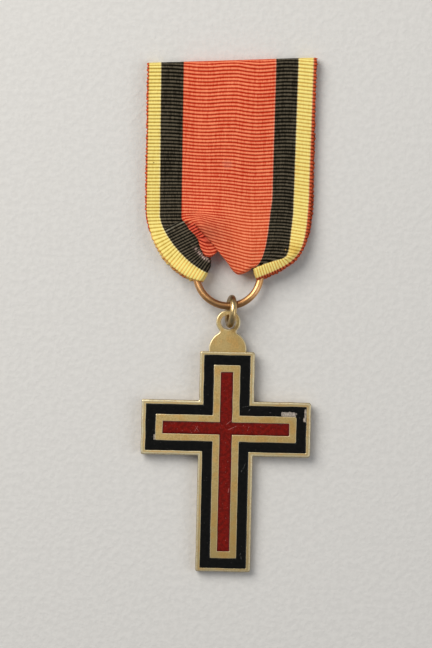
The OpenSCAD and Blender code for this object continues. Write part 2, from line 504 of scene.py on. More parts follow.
    @classmethod
    def _scratch(cls, tree: bpy.types.NodeTree) -> None:
        """A broken line: 1 within the half width of a line of the given half length and turn, 0 outside.

        Args:
            tree: the group's node tree.
        """
        bench, given, end = cls._sockets(
            tree,
            {"Vector": "Vector", "Centre": "Vector", "Turn": "Vector", "Half Size": "Vector"},
            {"Mask": "Float"},
        )
        inputs = {"Vector": given["Vector"], "Location": given["Centre"], "Rotation": given["Turn"]}
        place = bench.add("ShaderNodeMapping", inputs, vector_type="TEXTURE")
        parts = bench.parts(bench.vector("DIVIDE", place.outputs[0], given["Half Size"]))
        length, width = (bench.math("ABSOLUTE", part) for part in parts)
        ends, sides = bench.remap(length, 0.7, 1.0, 1.0, 0.0), bench.remap(width, 0.4, 1.2, 1.0, 0.0)
        broken = bench.remap(bench.noise(given["Vector"], 4.0, 2), 0.36, 0.5)
        bench.feed(end, {"Mask": bench.times(bench.times(ends, sides), broken)})


@dataclass(frozen=True)
class Finish:
    """A named material around one Principled shader.

    Attributes:
        name: name of the material.
    """

    name: str

    def material(self) -> bpy.types.Material:
        """Builds the material, or returns it if it is there.

        Returns:
            The material.
        """
        found = bpy.data.materials.get(self.name)
        if found:
            return found
        made = bpy.data.materials.new(self.name)
        made.use_nodes = True
        made.node_tree.nodes.clear()
        bench = Bench(made.node_tree)
        shader = bench.add("ShaderNodeBsdfPrincipled")
        bench.add("ShaderNodeOutputMaterial", {"Surface": shader.outputs[0]})
        self.dress(bench, shader)
        return made

    def dress(self, bench: Bench, shader: bpy.types.Node) -> None:
        """Feeds the shader; each finish has its own way."""
        raise NotImplementedError

    @staticmethod
    def plan(bench: Bench) -> Socket:
        """The piece's own map, in millimetres."""
        return bench.scaled(bench.add("ShaderNodeUVMap", uv_map="plan").outputs[0], MAP_MM, MAP_MM, 0)

    @staticmethod
    def body(bench: Bench) -> Socket:
        """Object coordinates, in millimetres."""
        return bench.scaled(bench.add("ShaderNodeTexCoord").outputs["Object"], 1 / MM, 1 / MM, 1 / MM)

    @staticmethod
    def value(bench: Bench, name: str) -> Socket:
        """A named value of the piece's points."""
        return bench.add("ShaderNodeAttribute", attribute_name=name).outputs["Fac"]

    @staticmethod
    def relief(bench: Bench, height: Socket, depth: float) -> Socket:
        """The normal of a relief.

        Args:
            bench: the material's bench.
            height: height from about 0 to 1.
            depth: what a height of 1 stands for, in millimetres.

        Returns:
            The normal.
        """
        inputs = {"Height": height, "Distance": depth * MM, "Strength": 1.0}
        return bench.add("ShaderNodeBump", inputs).outputs[0]


@dataclass(frozen=True)
class MetalFinish(Finish):
    """Worn metal: tarnished in clouds, bright on its edges, darkened towards a shade tone by painted shade.
    """

    base: Colour
    tarnish: Colour
    warm: Colour
    bright: Colour
    shade_tone: Colour
    roughness: float
    amount: float = 0.7
    depth: float = 0.012

    def dress(self, bench: Bench, shader: bpy.types.Node) -> None:
        """Feeds colour, roughness and relief from the aged metal effect.

        Args:
            bench: the material's bench.
            shader: the Principled shader.
        """
        # Painted shade: the base and warm tones darken towards the shade tone by the points' painted shade
        # value.
        painted_shade = self.value(bench, "painted_shade")
        inputs = {
            "Vector": self.body(bench), "Edge": self.value(bench, "edge"),
            "Base": bench.mix(painted_shade, self.base, self.shade_tone), "Tarnish": self.tarnish,
            "Warm": bench.mix(painted_shade, self.warm, self.shade_tone), "Bright": self.bright,
            "Amount": self.amount, "Roughness": self.roughness,
        }
        effect = Effect.AGED_METAL.place(bench, inputs).outputs
        normal = self.relief(bench, effect["Height"], self.depth)
        colour, rough = effect["Color"], effect["Roughness"]
        bench.feed(shader, {"Metallic": 1.0, "Base Color": colour, "Roughness": rough, "Normal": normal})


@dataclass(frozen=True)
class Patch:
    """A worn place on a piece, in the millimetres of its map.

    Attributes:
        centre, half: its middle and half sizes.
        ragged: how far its edge strays.
        squareness: 2 for an ellipse, more for a rounded box.
        softness: the share of its size over which it fades.
    """

    centre: tuple[float, float]
    half: tuple[float, float]
    ragged: float = 0.5
    squareness: float = 5.0
    softness: float = 0.12

    def mask(self, bench: Bench, plan: Socket) -> Socket:
        """1 on the patch and 0 beside it."""
        inputs = {
            "Vector": plan, "Centre": (*self.centre, 0), "Half Size": (*self.half, 1),
            "Ragged": self.ragged, "Squareness": self.squareness, "Softness": self.softness,
        }
        return Effect.WORN_PATCH.place(bench, inputs).outputs[0]


@dataclass(frozen=True)
class Scratch:
    """A scratch: its middle, half length, turn in degrees and half width, in the plane of the cross."""

    centre: tuple[float, float]
    half_length: float
    turn: float
    half_width: float = 0.07

    def mask(self, bench: Bench, plan: Socket) -> Socket:
        """1 on the scratch and 0 beside it."""
        inputs = {
            "Vector": plan, "Centre": (*self.centre, 0), "Turn": (0, 0, math.radians(self.turn)),
            "Half Size": (self.half_length, self.half_width, 1),
        }
        return Effect.SCRATCH.place(bench, inputs).outputs[0]


@dataclass(frozen=True)
class EnamelFinish(Finish):
    """Glossy enamel with chips down to the pale ground, scratches, pits and dust."""

    base: Colour
    deep: Colour
    dusty: Colour
    ground: Colour
    chips: tuple[Patch, ...]
    scratches: tuple[Scratch, ...]
    roughness: float
    wear: float
    depth: float = 0.015

    def dress(self, bench: Bench, shader: bpy.types.Node) -> None:
        """Mottles the colour, then lays dust, scratches and chips over it.

        Args:
            bench: the material's bench.
            shader: the Principled shader.
        """
        plan = self.plan(bench)
        inputs = {"Vector": plan, "Roughness": self.roughness, "Wear": self.wear}
        gloss = Effect.HANDLED_GLOSS.place(bench, inputs).outputs
        colour = bench.mix(bench.remap(bench.noise(plan, 1.3, 4), 0.36, 0.62), self.deep, self.base)
        colour = bench.mix(bench.times(self.value(bench, "edge"), 0.5), colour, srgb(0, 0, 0))
        colour = bench.mix(bench.times(gloss["Dust"], 0.6), colour, self.dusty)
        marks = self._largest(bench, plan, self.scratches)
        colour = bench.mix(bench.times(marks, 0.75), colour, self.dusty)
        chips = self._largest(bench, plan, self.chips)
        grain = bench.remap(bench.noise(bench.scaled(plan, 3.0, 1.2, 1.0), 1.6), 0.35, 0.65, 0.55, 1.2)
        pale = bench.add("ShaderNodeVectorMath", {0: self.ground[:3], 3: grain}, operation="SCALE")
        rough = bench.line(chips, 0.4, gloss["Roughness"])
        height = bench.line(chips, -4.0, bench.line(marks, -0.8, gloss["Height"]))
        bench.feed(
            shader,
            {
                "Base Color": bench.mix(chips, colour, pale.outputs[0]), "Roughness": rough,
                "Specular IOR Level": 0.24, "Normal": self.relief(bench, height, self.depth),
            },
        )

    @staticmethod
    def _largest(bench: Bench, plan: Socket, marks: tuple[Patch | Scratch, ...]) -> Socket:
        """The largest of the marks' masks, or 0 where there is no mark.

        Args:
            bench: the material's bench.
            plan: the piece's map, in millimetres.
            marks: the chips or the scratches.

        Returns:
            The mask.
        """
        whole = bench.math("ADD", 0.0, 0.0)
        for mark in marks:
            whole = bench.math("MAXIMUM", whole, mark.mask(bench, plan))
        return whole


class Dye(Enum):
    """The dyes of the ribbon.

    Each has a rib crest's tone with a painted highlight, its groove's tone with painted shade, and how
    narrow the crest looks.
    """

    EDGE = (srgb(220, 98, 58), srgb(106, 22, 9), 1.3)
    YELLOW = (srgb(255, 234, 138), srgb(184, 142, 34), 1.2)
    PALE_YELLOW = (srgb(255, 243, 182), srgb(160, 120, 44), 1.3)
    BLACK = (srgb(97, 88, 71), srgb(11, 8, 2), 5.5)
    RED = (srgb(255, 147, 103), srgb(192, 28, 0), 3.1)
    PALE_RED = (srgb(255, 168, 134), srgb(190, 60, 34), 1.8)


@dataclass(frozen=True)
class Wash:
    """A change of tone that follows a named value of the cloth's points, with its own painted groove shade
    and crest highlight.
    """

    name: str
    weight: float
    groove: Colour
    crest: Colour


# Each wash lies over those before it.
WASHES = (
    # Deep crimson: partly dye that held its colour, partly painted shade under the flap's edge.
    Wash("unfaded_and_shaded", 0.85, srgb(100, 6, 2), srgb(232, 88, 66)),
    # A duller, brownish patch on the flap.
    Wash("brownish_patch", 0.85, srgb(172, 76, 50), srgb(222, 120, 87)),
    # Paler ribs along the left strip's crease.
    Wash("rubbed", 0.7, srgb(46, 42, 32), srgb(176, 172, 150)),
    # Painted light: the red lightens towards the lower right.
    Wash("painted_light", 0.5, srgb(206, 80, 38), srgb(255, 150, 106)),
    # Painted light: brighter yellow near the ring and along the right yellow edge; the red left edge
    # yellowed in a ripple.
    Wash("bright", 0.8, srgb(255, 182, 84), srgb(255, 242, 144)),
    # Painted shade: darker yellow in the fold of the right yellow edge.
    Wash("fold_shade", 0.6, srgb(140, 100, 24), srgb(222, 178, 76)),
    Wash("frayed", 0.9, srgb(150, 116, 106), srgb(240, 210, 196)),
    # Painted shadow: near black in the hollows beside the bulge and under the flap.
    Wash("gap", 0.9, srgb(12, 4, 2), srgb(64, 16, 8)),
)

# A soft stain, a dark speck and a pale speck, each with its colour and its strength.
SPOTS = (
    (Patch((19.4, 20.3), (1.5, 1.3), 1.2, 2.0, 0.6), srgb(226, 150, 124), 0.22),
    (Patch((2.35, 20.4), (0.2, 0.2), 0.3, 2.0, 0.6), srgb(84, 60, 30), 0.85),
    (Patch((33.5, 39.6), (0.22, 0.22), 0.3, 2.0, 0.6), srgb(196, 158, 84), 0.8),
)


@dataclass(frozen=True)
class ClothFinish(Finish):
    """Corded silk: warp threads in stripes over thick ribs.

    Attributes:
        pitch: distance from rib to rib, in millimetres.
        width: width of the ribbon.
        stripes: each stripe's dye and where it ends, from the left edge.
        slack_loss: how much shallower the ribs are where the cloth is slack.
        depth: depth of the relief.
    """

    pitch: float
    width: float
    stripes: tuple[tuple[Dye, float], ...]
    slack_loss: float
    depth: float = 0.14

    def dress(self, bench: Bench, shader: bpy.types.Node) -> None:
        """Stripes across, ribs along, with streaky threads, washes and spots.

        Args:
            bench: the material's bench.
            shader: the Principled shader.
        """
        plan = self.plan(bench)
        across, along = bench.parts(plan)
        wave = bench.math("SINE", bench.times(along, math.pi / self.pitch))
        crest = bench.math("POWER", bench.math("ABSOLUTE", wave), 0.75)
        threads = bench.noise(bench.scaled(plan, 7.5, 0.9, 1), 1.0)
        picks = bench.noise(bench.scaled(plan, 0.16, 1 / self.pitch, 1), 1.0, 2)
        streaks = bench.noise(bench.scaled(plan, 1.9, 0.12, 1), 1.0, 2)
        shift = bench.line(bench.noise(bench.scaled(plan, 0.1, 1.3, 1), 1.0, 1), 0.16, -0.08)
        place = bench.math("DIVIDE", bench.math("ADD", across, shift), self.width)
        lit = crest
        for layer, weight in ((threads, 0.8), (picks, 0.35), (streaks, 0.5)):
            lit = bench.line(layer, weight, lit)
        lit = bench.math("ADD", lit, -0.82, clamp=True)
        # Painted light: the crest of each rib takes the lighter tone, a painted highlight, and its groove
        # the darker one, painted shade.
        low, high = self._ramp(bench, place, 1), self._ramp(bench, place, 0)
        lit = bench.math("POWER", lit, bench.times(low.node.outputs["Alpha"], NARROWEST))
        colour = bench.mix(lit, low, high)
        for wash in WASHES:
            share = bench.times(self.value(bench, wash.name), wash.weight)
            colour = bench.mix(share, colour, bench.mix(lit, wash.groove, wash.crest))
        for spot, tone, weight in SPOTS:
            colour = bench.mix(bench.times(spot.mask(bench, plan), weight), colour, tone)
        firm = bench.line(self.value(bench, "slack"), -self.slack_loss, 1.0)
        height = bench.line(threads, 0.16, bench.times(crest, firm))
        bench.feed(
            shader,
            {
                "Base Color": colour, "Roughness": bench.line(crest, -0.12, 0.7),
                "Specular IOR Level": 0.05, "Normal": self.relief(bench, height, self.depth),
            },
        )

    def _ramp(self, bench: Bench, place: Socket, tone: int) -> Socket:
        """A ramp across the ribbon with a sharp step at the end of each stripe.

        Its alpha is how narrow the crests look, over the narrowest.

        Args:
            bench: the material's bench.
            place: position across the ribbon, from 0 to 1.
            tone: 0 for the crests, 1 for the grooves.

        Returns:
            The colour.
        """
        node = bench.add("ShaderNodeValToRGB", {"Fac": place})
        ramp = node.color_ramp
        tones = [(*dye.value[tone][:3], dye.value[2] / NARROWEST) for dye, _ in self.stripes]
        ramp.elements[0].color = tones[0]
        ramp.elements[1].position = 1.0
        ramp.elements[1].color = tones[-1]
        soft = 0.06 / self.width
        for (_, end), before, after in zip(self.stripes[:-1], tones[:-1], tones[1:]):
            ramp.elements.new(end / self.width - soft).color = before
            ramp.elements.new(end / self.width + soft).color = after
        return node.outputs["Color"]


@dataclass(frozen=True)
class PaperFinish(Finish):
    """Pale matt paper with a faint tooth."""

    tone: Colour
    shade: float = 0.95
    depth: float = 0.05

    def dress(self, bench: Bench, shader: bpy.types.Node) -> None:
        """A nearly even tone and a fine relief.

        Args:
            bench: the material's bench.
            shader: the Principled shader.
        """
        fleck = bench.remap(bench.noise(self.body(bench), 0.8, 5), 0.3, 0.7)
        darker = (*(self.shade * part for part in self.tone[:3]), 1.0)
        bench.feed(
            shader,
            {
                "Base Color": bench.mix(fleck, darker, self.tone), "Roughness": 0.9,
                "Specular IOR Level": 0.15, "Normal": self.relief(bench, fleck, self.depth),
            },
        )


@dataclass(frozen=True)
class Guide:
    """A lengthwise line of the ribbon.

    It runs straight from the top fold to start, then along the cubic curve with the handles pull_a and
    pull_b to end, where the cloth turns under inside the ring.

    Attributes:
        across: its place across the cloth.
        start, pull_a, pull_b, end: x and y of the curve.
        lift: height of the cloth's outside at the end.
        share: the share of the curve after which that height is reached.
        lanes: lanes of the mesh up to the next line.
        unfaded_and_shaded: deep crimson left at the end, partly dye that held its colour, partly painted
            shade.
        turn: radius with which the cloth turns under at the end.
    """

    across: float
    start: tuple[float, float]
    pull_a: tuple[float, float]
    pull_b: tuple[float, float]
    end: tuple[float, float]
    lift: float = 0.0
    share: float = 0.75
    lanes: int = 2
    unfaded_and_shaded: float = 0.0
    turn: float = 1.0

    def row(self) -> list[float]:
        """Everything that changes from line to line, as one row."""
        rest = [self.lift, self.share, self.unfaded_and_shaded, self.turn]
        return [*self.start, *self.pull_a, *self.pull_b, *self.end, *rest]


@dataclass(frozen=True)
class Nudge:
    """A local shift of the cloth, which fades away both across and along.

    Attributes:
        across, spread: the middle across the cloth and its reach.
        y, reach: the middle along the cloth and its reach.
        shift: the shift in x.
    """

    across: float
    spread: float
    y: float
    reach: float
    shift: float

    def apply(self, plan: Array, across: Array) -> None:
        """Adds the shift times the bell of both distances, each over its reach."""
        apart = (plan[:, :, 1] - self.y) / self.reach
        plan[:, :, 0] += self.shift * bell((across - self.across) / self.spread, apart)


FRONT = (
    Guide(0.0, (-18.45, 24.2), (-18.56, 16.5), (-12.3, 7.74), (-5.88, 7.36), 4.1, 0.75, 2),
    Guide(0.62, (-18.1, 24.2), (-18.5, 16.5), (-12.25, 7.8), (-5.85, 7.4), 4.4, 0.75, 4),
    Guide(LEFT_BLACK, (-15.15, 22.0), (-15.1, 18.2), (-9.6, 11.1), (-4.7, 9.25), 4.65, 0.75, 9),
    Guide(LEFT_RED, (-10.38, 21.6), (-10.3, 19.5), (-6.9, 15.2), (-3.9, 12.1), 4.1, 0.75, 1),
    Guide(9.12, (-10.3, 21.6), (-10.2, 19.5), (-6.6, 15.2), (-5.7, 13.3), 4.3, 0.9, 2, 0.9, 0.5),
    Guide(9.4, (-10.1, 21.6), (-9.8, 19.8), (-6.3, 14.8), (-5.1, 12.85), 4.8, 0.9, 2, 0.95, 0.45),
    Guide(9.8, (-9.7, 21.6), (-9.2, 20.2), (-5.5, 15.2), (-4.2, 12.6), 5.05, 0.9, 2, 1.0, 0.45),
    Guide(10.2, (-9.3, 21.6), (-8.9, 20.3), (-5.0, 15.8), (-3.1, 13.2), 5.0, 0.85, 2, 1.0, 0.45),
    Guide(10.6, (-8.9, 21.6), (-8.4, 20.2), (-3.6, 16.8), (-1.4, 14.9), 4.6, 0.8, 4, 1.0, 0.6),
    Guide(11.0, (-8.5, 21.6), (-8.4, 19.9), (-5.6, 18.2), (-1.8, 13.2), 5.25, 0.4, 2, 0.3),
    Guide(11.5, (-8.0, 21.9), (-7.6, 20.2), (-4.8, 17.9), (-1.2, 12.4), 5.65, 0.4, 4),
    Guide(14.0, (-5.6, 24.2), (-5.2, 20.4), (-1.6, 15.8), (-0.2, 11.1), 5.4, 0.5, 4),
    Guide(17.5, (-2.6, 25.0), (-2.4, 20.0), (0.4, 14.5), (0.9, 9.5), 5.1, 0.6, 4),
    Guide(20.0, (-0.2, 25.3), (0.2, 19.1), (2.4, 13.4), (2.2, 8.75), 4.9, 0.7, 5),
    Guide(24.5, (4.4, 25.3), (4.4, 19.1), (4.7, 13.2), (4.5, 9.75), 4.9, 0.75, 5),
    Guide(RIGHT_BLACK, (9.45, 25.3), (8.5, 19.4), (8.3, 10.6), (5.0, 10.3), 4.6, 0.75, 5),
    Guide(34.1, (14.0, 22.0), (12.2, 9.1), (14.2, 14.4), (5.17, 10.12), 4.45, 0.75, 3),
    Guide(RIGHT_FOLD, (14.15, 22.0), (12.35, 9.0), (14.35, 14.25), (5.3, 10.0), 5.1, 0.6, 3),
    Guide(36.0, (16.0, 23.5), (14.8, 11.4), (15.3, 12.9), (5.6, 9.0), 4.9, 0.65, 3),
    Guide(37.44, (17.6, 25.0), (16.76, 13.34), (16.17, 11.7), (5.95, 7.95), 4.5, 0.75, 2),
    Guide(WIDTH, (18.1, 25.0), (17.35, 12.75), (16.25, 11.0), (6.1, 7.55), 4.15, 0.75, 2),
)

BACK = (
    Guide(0.0, (-18.3, 24.2), (-18.6, 16.4), (-13.0, 7.3), (-5.7, 7.1)),
    Guide(LEFT_BLACK, (-15.0, 22.0), (-15.0, 18.2), (-9.5, 11.1), (-4.6, 9.3)),
    Guide(LEFT_RED, (-10.3, 23.0), (-9.3, 20.2), (-6.7, 13.4), (-4.1, 12.5)),
    Guide(10.0, (-9.2, 22.8), (-8.7, 20.2), (-5.6, 15.0), (-3.5, 13.4)),
    Guide(11.0, (-8.3, 22.8), (-7.9, 20.4), (-4.4, 17.0), (-1.8, 13.9)),
    Guide(20.0, (0.4, 25.3), (0.6, 19.1), (2.8, 13.2), (2.3, 9.1)),
    Guide(24.5, (5.0, 25.3), (5.0, 19.1), (4.7, 13.2), (4.4, 9.8)),
    Guide(RIGHT_BLACK, (9.9, 25.3), (9.5, 19.8), (8.2, 12.4), (5.2, 10.3)),
    Guide(RIGHT_YELLOW, (14.7, 22.5), (14.2, 12.6), (13.0, 12.4), (5.3, 9.5)),
    Guide(WIDTH, (18.6, 25.0), (18.2, 14.6), (15.6, 10.4), (6.1, 7.3)),
)

NUDGES = (Nudge(STRIP_END, 1.0, 17.2, 1.9, 1.05), Nudge(9.2, 0.8, 19.8, 0.7, 0.4))


class Lanes:
    """The lines of a table, read at every lane of the mesh.

    Attributes:
        points: the four points of each lane's curve.
        start, end: the first and the last of them.
        way: the direction at the end, of length 1.
        speed: how far the curve runs there for a step of 1.
        lift, share, unfaded_and_shaded, turn: as in the table.
    """

    def __init__(self, table: tuple[Guide, ...], across: Array) -> None:
        """Reads the table at the given places across the cloth.

        Args:
            table: the lines, from the left edge to the right.
            across: places across the cloth.
        """
        rows = np.array([line.row() for line in table])
        net = monotone(np.array([line.across for line in table]), rows, across)
        self.points = net[:, :8].reshape(-1, 4, 2)
        self.start, self.end = self.points[:, 0], self.points[:, 3]
        self.lift, self.share, self.unfaded_and_shaded, self.turn = net[:, 8:].T
        last = self.end - self.points[:, 2]
        length = np.linalg.norm(last, axis=1)
        self.way, self.speed = last / length[:, None], 3 * length

    def bend(self, s: Array) -> Array:
        """The cubic curve of each lane: its four points weighted by the cubic Bernstein polynomials of s.

        Args:
            s: positions on the curve, a row for each step and a column for each lane.

        Returns:
            Steps by lanes by x and y.
        """
        s = s[:, :, None]
        weights = ((1 - s) ** 3, 3 * s * (1 - s) ** 2, 3 * s * s * (1 - s), s**3)
        return sum(self.points[:, i] * weight for i, weight in enumerate(weights))

    def rounded(self, radius: Array | float, level: Array | float, forth: Array, rise: Array) -> Array:
        """A quarter round at the end of each lane, whose steps forth and up are given in radii."""
        plan = self.end + self.way * (radius * forth)[:, :, None]
        return spread(plan[:, :, 0], plan[:, :, 1], level + radius * rise)


@dataclass(frozen=True)
class Ribbon:
    """The corded ribbon: one closed band, folded over at the top and gathered in the big ring.

    Sizes are in millimetres; across runs from the left edge of the front.

    Attributes:
        width, pitch: width of the ribbon and distance from rib to rib.
        cloth, rib_depth: thickness of the cloth and depth of the grooves between its ribs.
        slack_loss: how much shallower the grooves are where the cloth is slack.
        selvedge: how far in from its edges the cloth is thinner, and by which share of its thickness.
        loop_w, loop_out, loop_stray: reach, length and stray of the loop in which each rib ends.
        top_y, top_slope: height of the top fold in the middle, and its slant.
        front_z, back_z: heights of the outsides of front and back.
        crease_at: where the left strip has its crease, as a share of the front's curve.
        crease_rise, crease_fades: height of the crease, and the shares over which it fades both ways.
        sag_rise, crown_rise: how much the front rises in waves and in its middle.
        left_pace: the way for each millimetre of the left strip past its crease.
        right_fold_at, right_gain: where the right edge turns, and what its pace gains after pull_rows rows.
        rib_stray: how much the ribs waver.
        turn_back: radius with which the cloth turns to the back inside the ring.
        flat_rows, bend_rows, turn_rows, back_bend_rows, back_flat_rows, fold_rows: rows of each part.
        stripes: each stripe's dye and where it ends.
    """

    width: float = WIDTH
    pitch: float = 0.77
    cloth: float = 0.38
    rib_depth: float = 0.07
    slack_loss: float = 0.6
    selvedge: float = 0.3
    loop_w: float = 0.2
    loop_out: float = 0.2
    loop_stray: float = 0.14
    top_y: float = 55.95
    top_slope: float = 0.031
    front_z: float = 2.5
    back_z: float = 0.01
    crease_at: float = 0.21
    crease_rise: float = 0.3
    crease_fades: tuple[float, float] = (0.06, 0.012)
    sag_rise: float = 0.22
    crown_rise: float = 0.35
    left_pace: float = 1.15
    right_fold_at: float = 0.35
    right_gain: float = 0.35
    rib_stray: float = 0.08
    turn_back: float = 0.7
    flat_rows: int = 200
    bend_rows: int = 190
    turn_rows: int = 14
    back_bend_rows: int = 110
    back_flat_rows: int = 150
    fold_rows: int = 24
    pull_rows: int = 24
    stripes: tuple[tuple[Dye, float], ...] = (
        (Dye.EDGE, 0.74), (Dye.YELLOW, 3.76), (Dye.PALE_YELLOW, LEFT_BLACK), (Dye.BLACK, LEFT_RED),
        (Dye.RED, 28.84), (Dye.PALE_RED, RIGHT_BLACK), (Dye.BLACK, RIGHT_YELLOW),
        (Dye.PALE_YELLOW, 34.4), (Dye.YELLOW, 37.16), (Dye.PALE_YELLOW, RIGHT_HEM), (Dye.EDGE, WIDTH),
    )

    def columns(self) -> Array:
        """Places across the cloth of the mesh's lanes, evenly spread between two lines of the table.

        Returns:
            One place for each lane.
        """
        lanes = [
            np.linspace(one.across, two.across, one.lanes, endpoint=False)
            for one, two in zip(FRONT[:-1], FRONT[1:])
        ]
        return np.concatenate([*lanes, [self.width]])

    def top(self, across: Array) -> Array:
        """The middle of the top fold above each lane, on a slanting line.

        Args:
            across: places across the cloth.

        Returns:
            x and y for each lane.
        """
        ends = [0.0, 0.62, LEFT_BLACK, LEFT_RED, RIGHT_BLACK, RIGHT_YELLOW, 37.44, WIDTH]
        x = np.interp(across, ends, [-17.93, -17.6, -14.85, -9.9, 10.34, 15.25, 18.7, 19.25])
        return spread(x, self.top_y + self.top_slope * x - self.front_z / 2)

    def front(self, lanes: Lanes, top: Array, across: Array) -> Array:
        """The outside of the front, from the top fold to where it starts to turn under.

        The height rises from its flat value to the lift by the smooth rise of s over the share.

        Args:
            lanes: the front's lanes.
            top: x and y of the top fold.
            across: places across the cloth.

        Returns:
            The places, by row and lane.
        """
        flat = np.linspace(0, 1, self.flat_rows, endpoint=False)[:, None, None]
        s = np.linspace(0, 1, self.bend_rows)[:, None]
        shift = np.interp(across, [0, LEFT_BLACK, LEFT_RED, 11], [0, 0.065, -0.055, 0])
        s = s + shift * smooth(s / self.crease_at) * smooth((1 - s) / (1 - self.crease_at))
        s = s * (1 - lanes.turn / lanes.speed)
        rise = (lanes.lift - self.front_z) * smooth(s / lanes.share)
        height = self.front_z + np.vstack([np.zeros((self.flat_rows, len(across))), rise])
        plan = np.vstack([top * (1 - flat) + lanes.start * flat, lanes.bend(s)])
        for nudge in NUDGES:
            nudge.apply(plan, across)
        return np.dstack([plan, height])

    def back(self, lanes: Lanes, top: Array) -> Array:
        """The outside of the back, from the turn up to the top fold, level with the surface.

        Args:
            lanes: the back's lanes.
            top: x and y of the top fold.

        Returns:
            The places, by row and lane.
        """
        s = np.linspace(1, 0, self.back_bend_rows, endpoint=False)[:, None]
        flat = np.linspace(0, 1, self.back_flat_rows)[:, None, None]
        bend = lanes.bend(s * (1 - self.turn_back / lanes.speed))
        plan = np.vstack([bend, lanes.start * (1 - flat) + top * flat])
        return spread(plan[:, :, 0], plan[:, :, 1], self.back_z)

    def turn(self, front: Lanes, back: Lanes) -> Array:
        """The turn inside the ring: a quarter round down, a straight fall, a quarter round to the back.

        Args:
            front, back: the lanes of both.

        Returns:
            The places, by row and lane.
        """
        angle = np.linspace(0, math.pi / 2, self.turn_rows)[1:, None]
        sine, cosine = np.sin(angle), np.cos(angle)
        down = front.rounded(front.turn, front.lift, sine - 1, cosine - 1)
        away = back.rounded(self.turn_back, self.back_z, cosine - 1, 1 - sine)[:-1]
        share = np.linspace(0, 1, self.turn_rows, endpoint=False)[1:, None, None]
        return np.concatenate([down, down[-1:] * (1 - share) + away[:1] * share, away])

    def fold(self, top: Array) -> Array:
        """The top fold: half a circle from the back over to the front.

        Args:
            top: x and y of its middle.

        Returns:
            The places, by row and lane.
        """
        radius = self.front_z / 2
        angle = np.linspace(0, math.pi, self.fold_rows + 2)[1:-1, None]
        return spread(top[:, 0], top[:, 1] + radius * np.sin(angle), radius * (1 - np.cos(angle)))

    def past_crease(self, rows: int) -> Array:
        """How far each row lies past the left strip's crease, as a share of the front's curve."""
        return (np.arange(rows) - self.flat_rows)[:, None] / self.bend_rows - self.crease_at

    def sag(self, outside: Array, across: Array) -> Array:
        """Lifts the flat cloth a little here and there, none near its folds, and the crease's edge.

        Args:
            outside: the places.
            across: places across the cloth.

        Returns:
            The lifted places.
        """
        x, y = outside[:, :, 0], outside[:, :, 1]
        free = smooth((y - 14) / 8) * smooth((54 - y) / 6) * (outside[:, :, 2] > self.front_z - 0.5)
        wave = self.sag_rise * ripple(spread(x, y * 0.5), 17.0, 4)
        crown = self.crown_rise * np.sin(math.pi * across / self.width)
        s, (before, after) = self.past_crease(len(outside)), self.crease_fades
        crease = self.crease_rise * np.exp(np.minimum(s, 0) / before - np.maximum(s, 0) / after)
        crease = crease * smooth((across - 3.2) / 2) * (across < FLAP_START)
        return outside + spread(0, 0, free * (wave + crown) + crease)

    @staticmethod
    def fan(plan: Array, spine: Array, ways: Array, tilt: Array) -> Array:
        """Finds the rib through each point, where straight ribs fan out from one lane.

        A point lies on the rib where its distance from the lane, crossed with the rib's direction, changes
        its sign.

        Args:
            plan: the points, as rows by lanes by x and y.
            spine: x and y along the lane.
            ways: the way along the cloth at each of these.
            tilt: how much the rib there rises to the right, in degrees.

        Returns:
            The way of each point's rib.
        """
        turn = np.radians(tilt)
        apart = plan[:, :, None] - spine
        side = apart[..., 0] * np.sin(turn) - apart[..., 1] * np.cos(turn)
        last = np.clip((side > 0).sum(axis=2) - 1, 0, len(ways) - 2)
        one, two = (np.take_along_axis(side, last[..., None] + i, 2)[..., 0] for i in (0, 1))
        return ways[last] + one / (one - two) * (ways[last + 1] - ways[last])

    def followed(self, way: Array, along: Array, at: float, pace: float, more: float) -> Array:
        """The way on a lane that from some row on is followed by the lane's own length.

        Args:
            way: its way at each row.
            along: its length at each row.
            at: the share of the curve from which its length counts.
            pace: the way for each millimetre of it.
            more: what the pace gains once pull_rows more rows have passed.

        Returns:
            The way at each row.
        """
        row = self.flat_rows + int(at * self.bend_rows)
        late = np.maximum(along - along[row + self.pull_rows], 0)
        on = way[row] + pace * (along - along[row]) + more * late
        return np.where(np.arange(len(way)) < row, way, on)

    @staticmethod
    def drawn(fall: Array) -> Array:
        """The way for a distance below the top fold: the ribs lie closer together towards the ring."""
        return np.interp(fall, [0, 11, 20, 25, 60], [0, 10.58, 19.73, 24.65, 62.5])

    @staticmethod
    def wave(fall: Array, across: Array) -> Array:
        """How far the ribs stray from the line of the top fold, upwards, near the top and near the ring.

        Args:
            fall: distance below the top fold.
            across: places across the cloth.

        Returns:
            The distance, by row and lane.
        """
        lanes = np.array([0, 6, 9.5, 12.3, 15, 17.7, 20.4, 23.1, 25.8, 29, 31, 35.6, 38.1])
        high = [0, -0.24, -0.61, -0.98, -1.12, -1.02, -1.06, -1.5, -1.78, -1.64, -1.56, -1.83, -2.1]
        low = [0, -0.07, -0.21, -0.47, -0.69, -0.94, -1.31, -1.8, -2.09, -2.08, -2.13, -2.83, -3.4]
        both = monotone(lanes, np.array([high, low]).T, across)
        return both[:, 0] + (both[:, 1] - both[:, 0]) * smooth((fall - 10) / 22)

    @staticmethod
    def slant(x: Array, y: Array) -> Array:
        """How far the ribs of the flap are shifted along it: an arch below its fold, and a slope.

        Args:
            x, y: the places.

        Returns:
            The shift of the way.
        """
        arch = np.interp(x, [-10.4, -8.6, -7.0, -6.1, -4.2, -2, 1], [0.2, 0.8, 1.5, 1.6, 1.2, 0.9, 0.7])
        drop = (np.interp(x, [-6, 2], [23.2, 24.0]) - y) / np.interp(x, [-6, 2], [2.8, 9.5])
        return arch * smooth(drop) + np.interp(x, [-6, 3.2], [0.3, -0.5]) * smooth((23 - y) / 8)

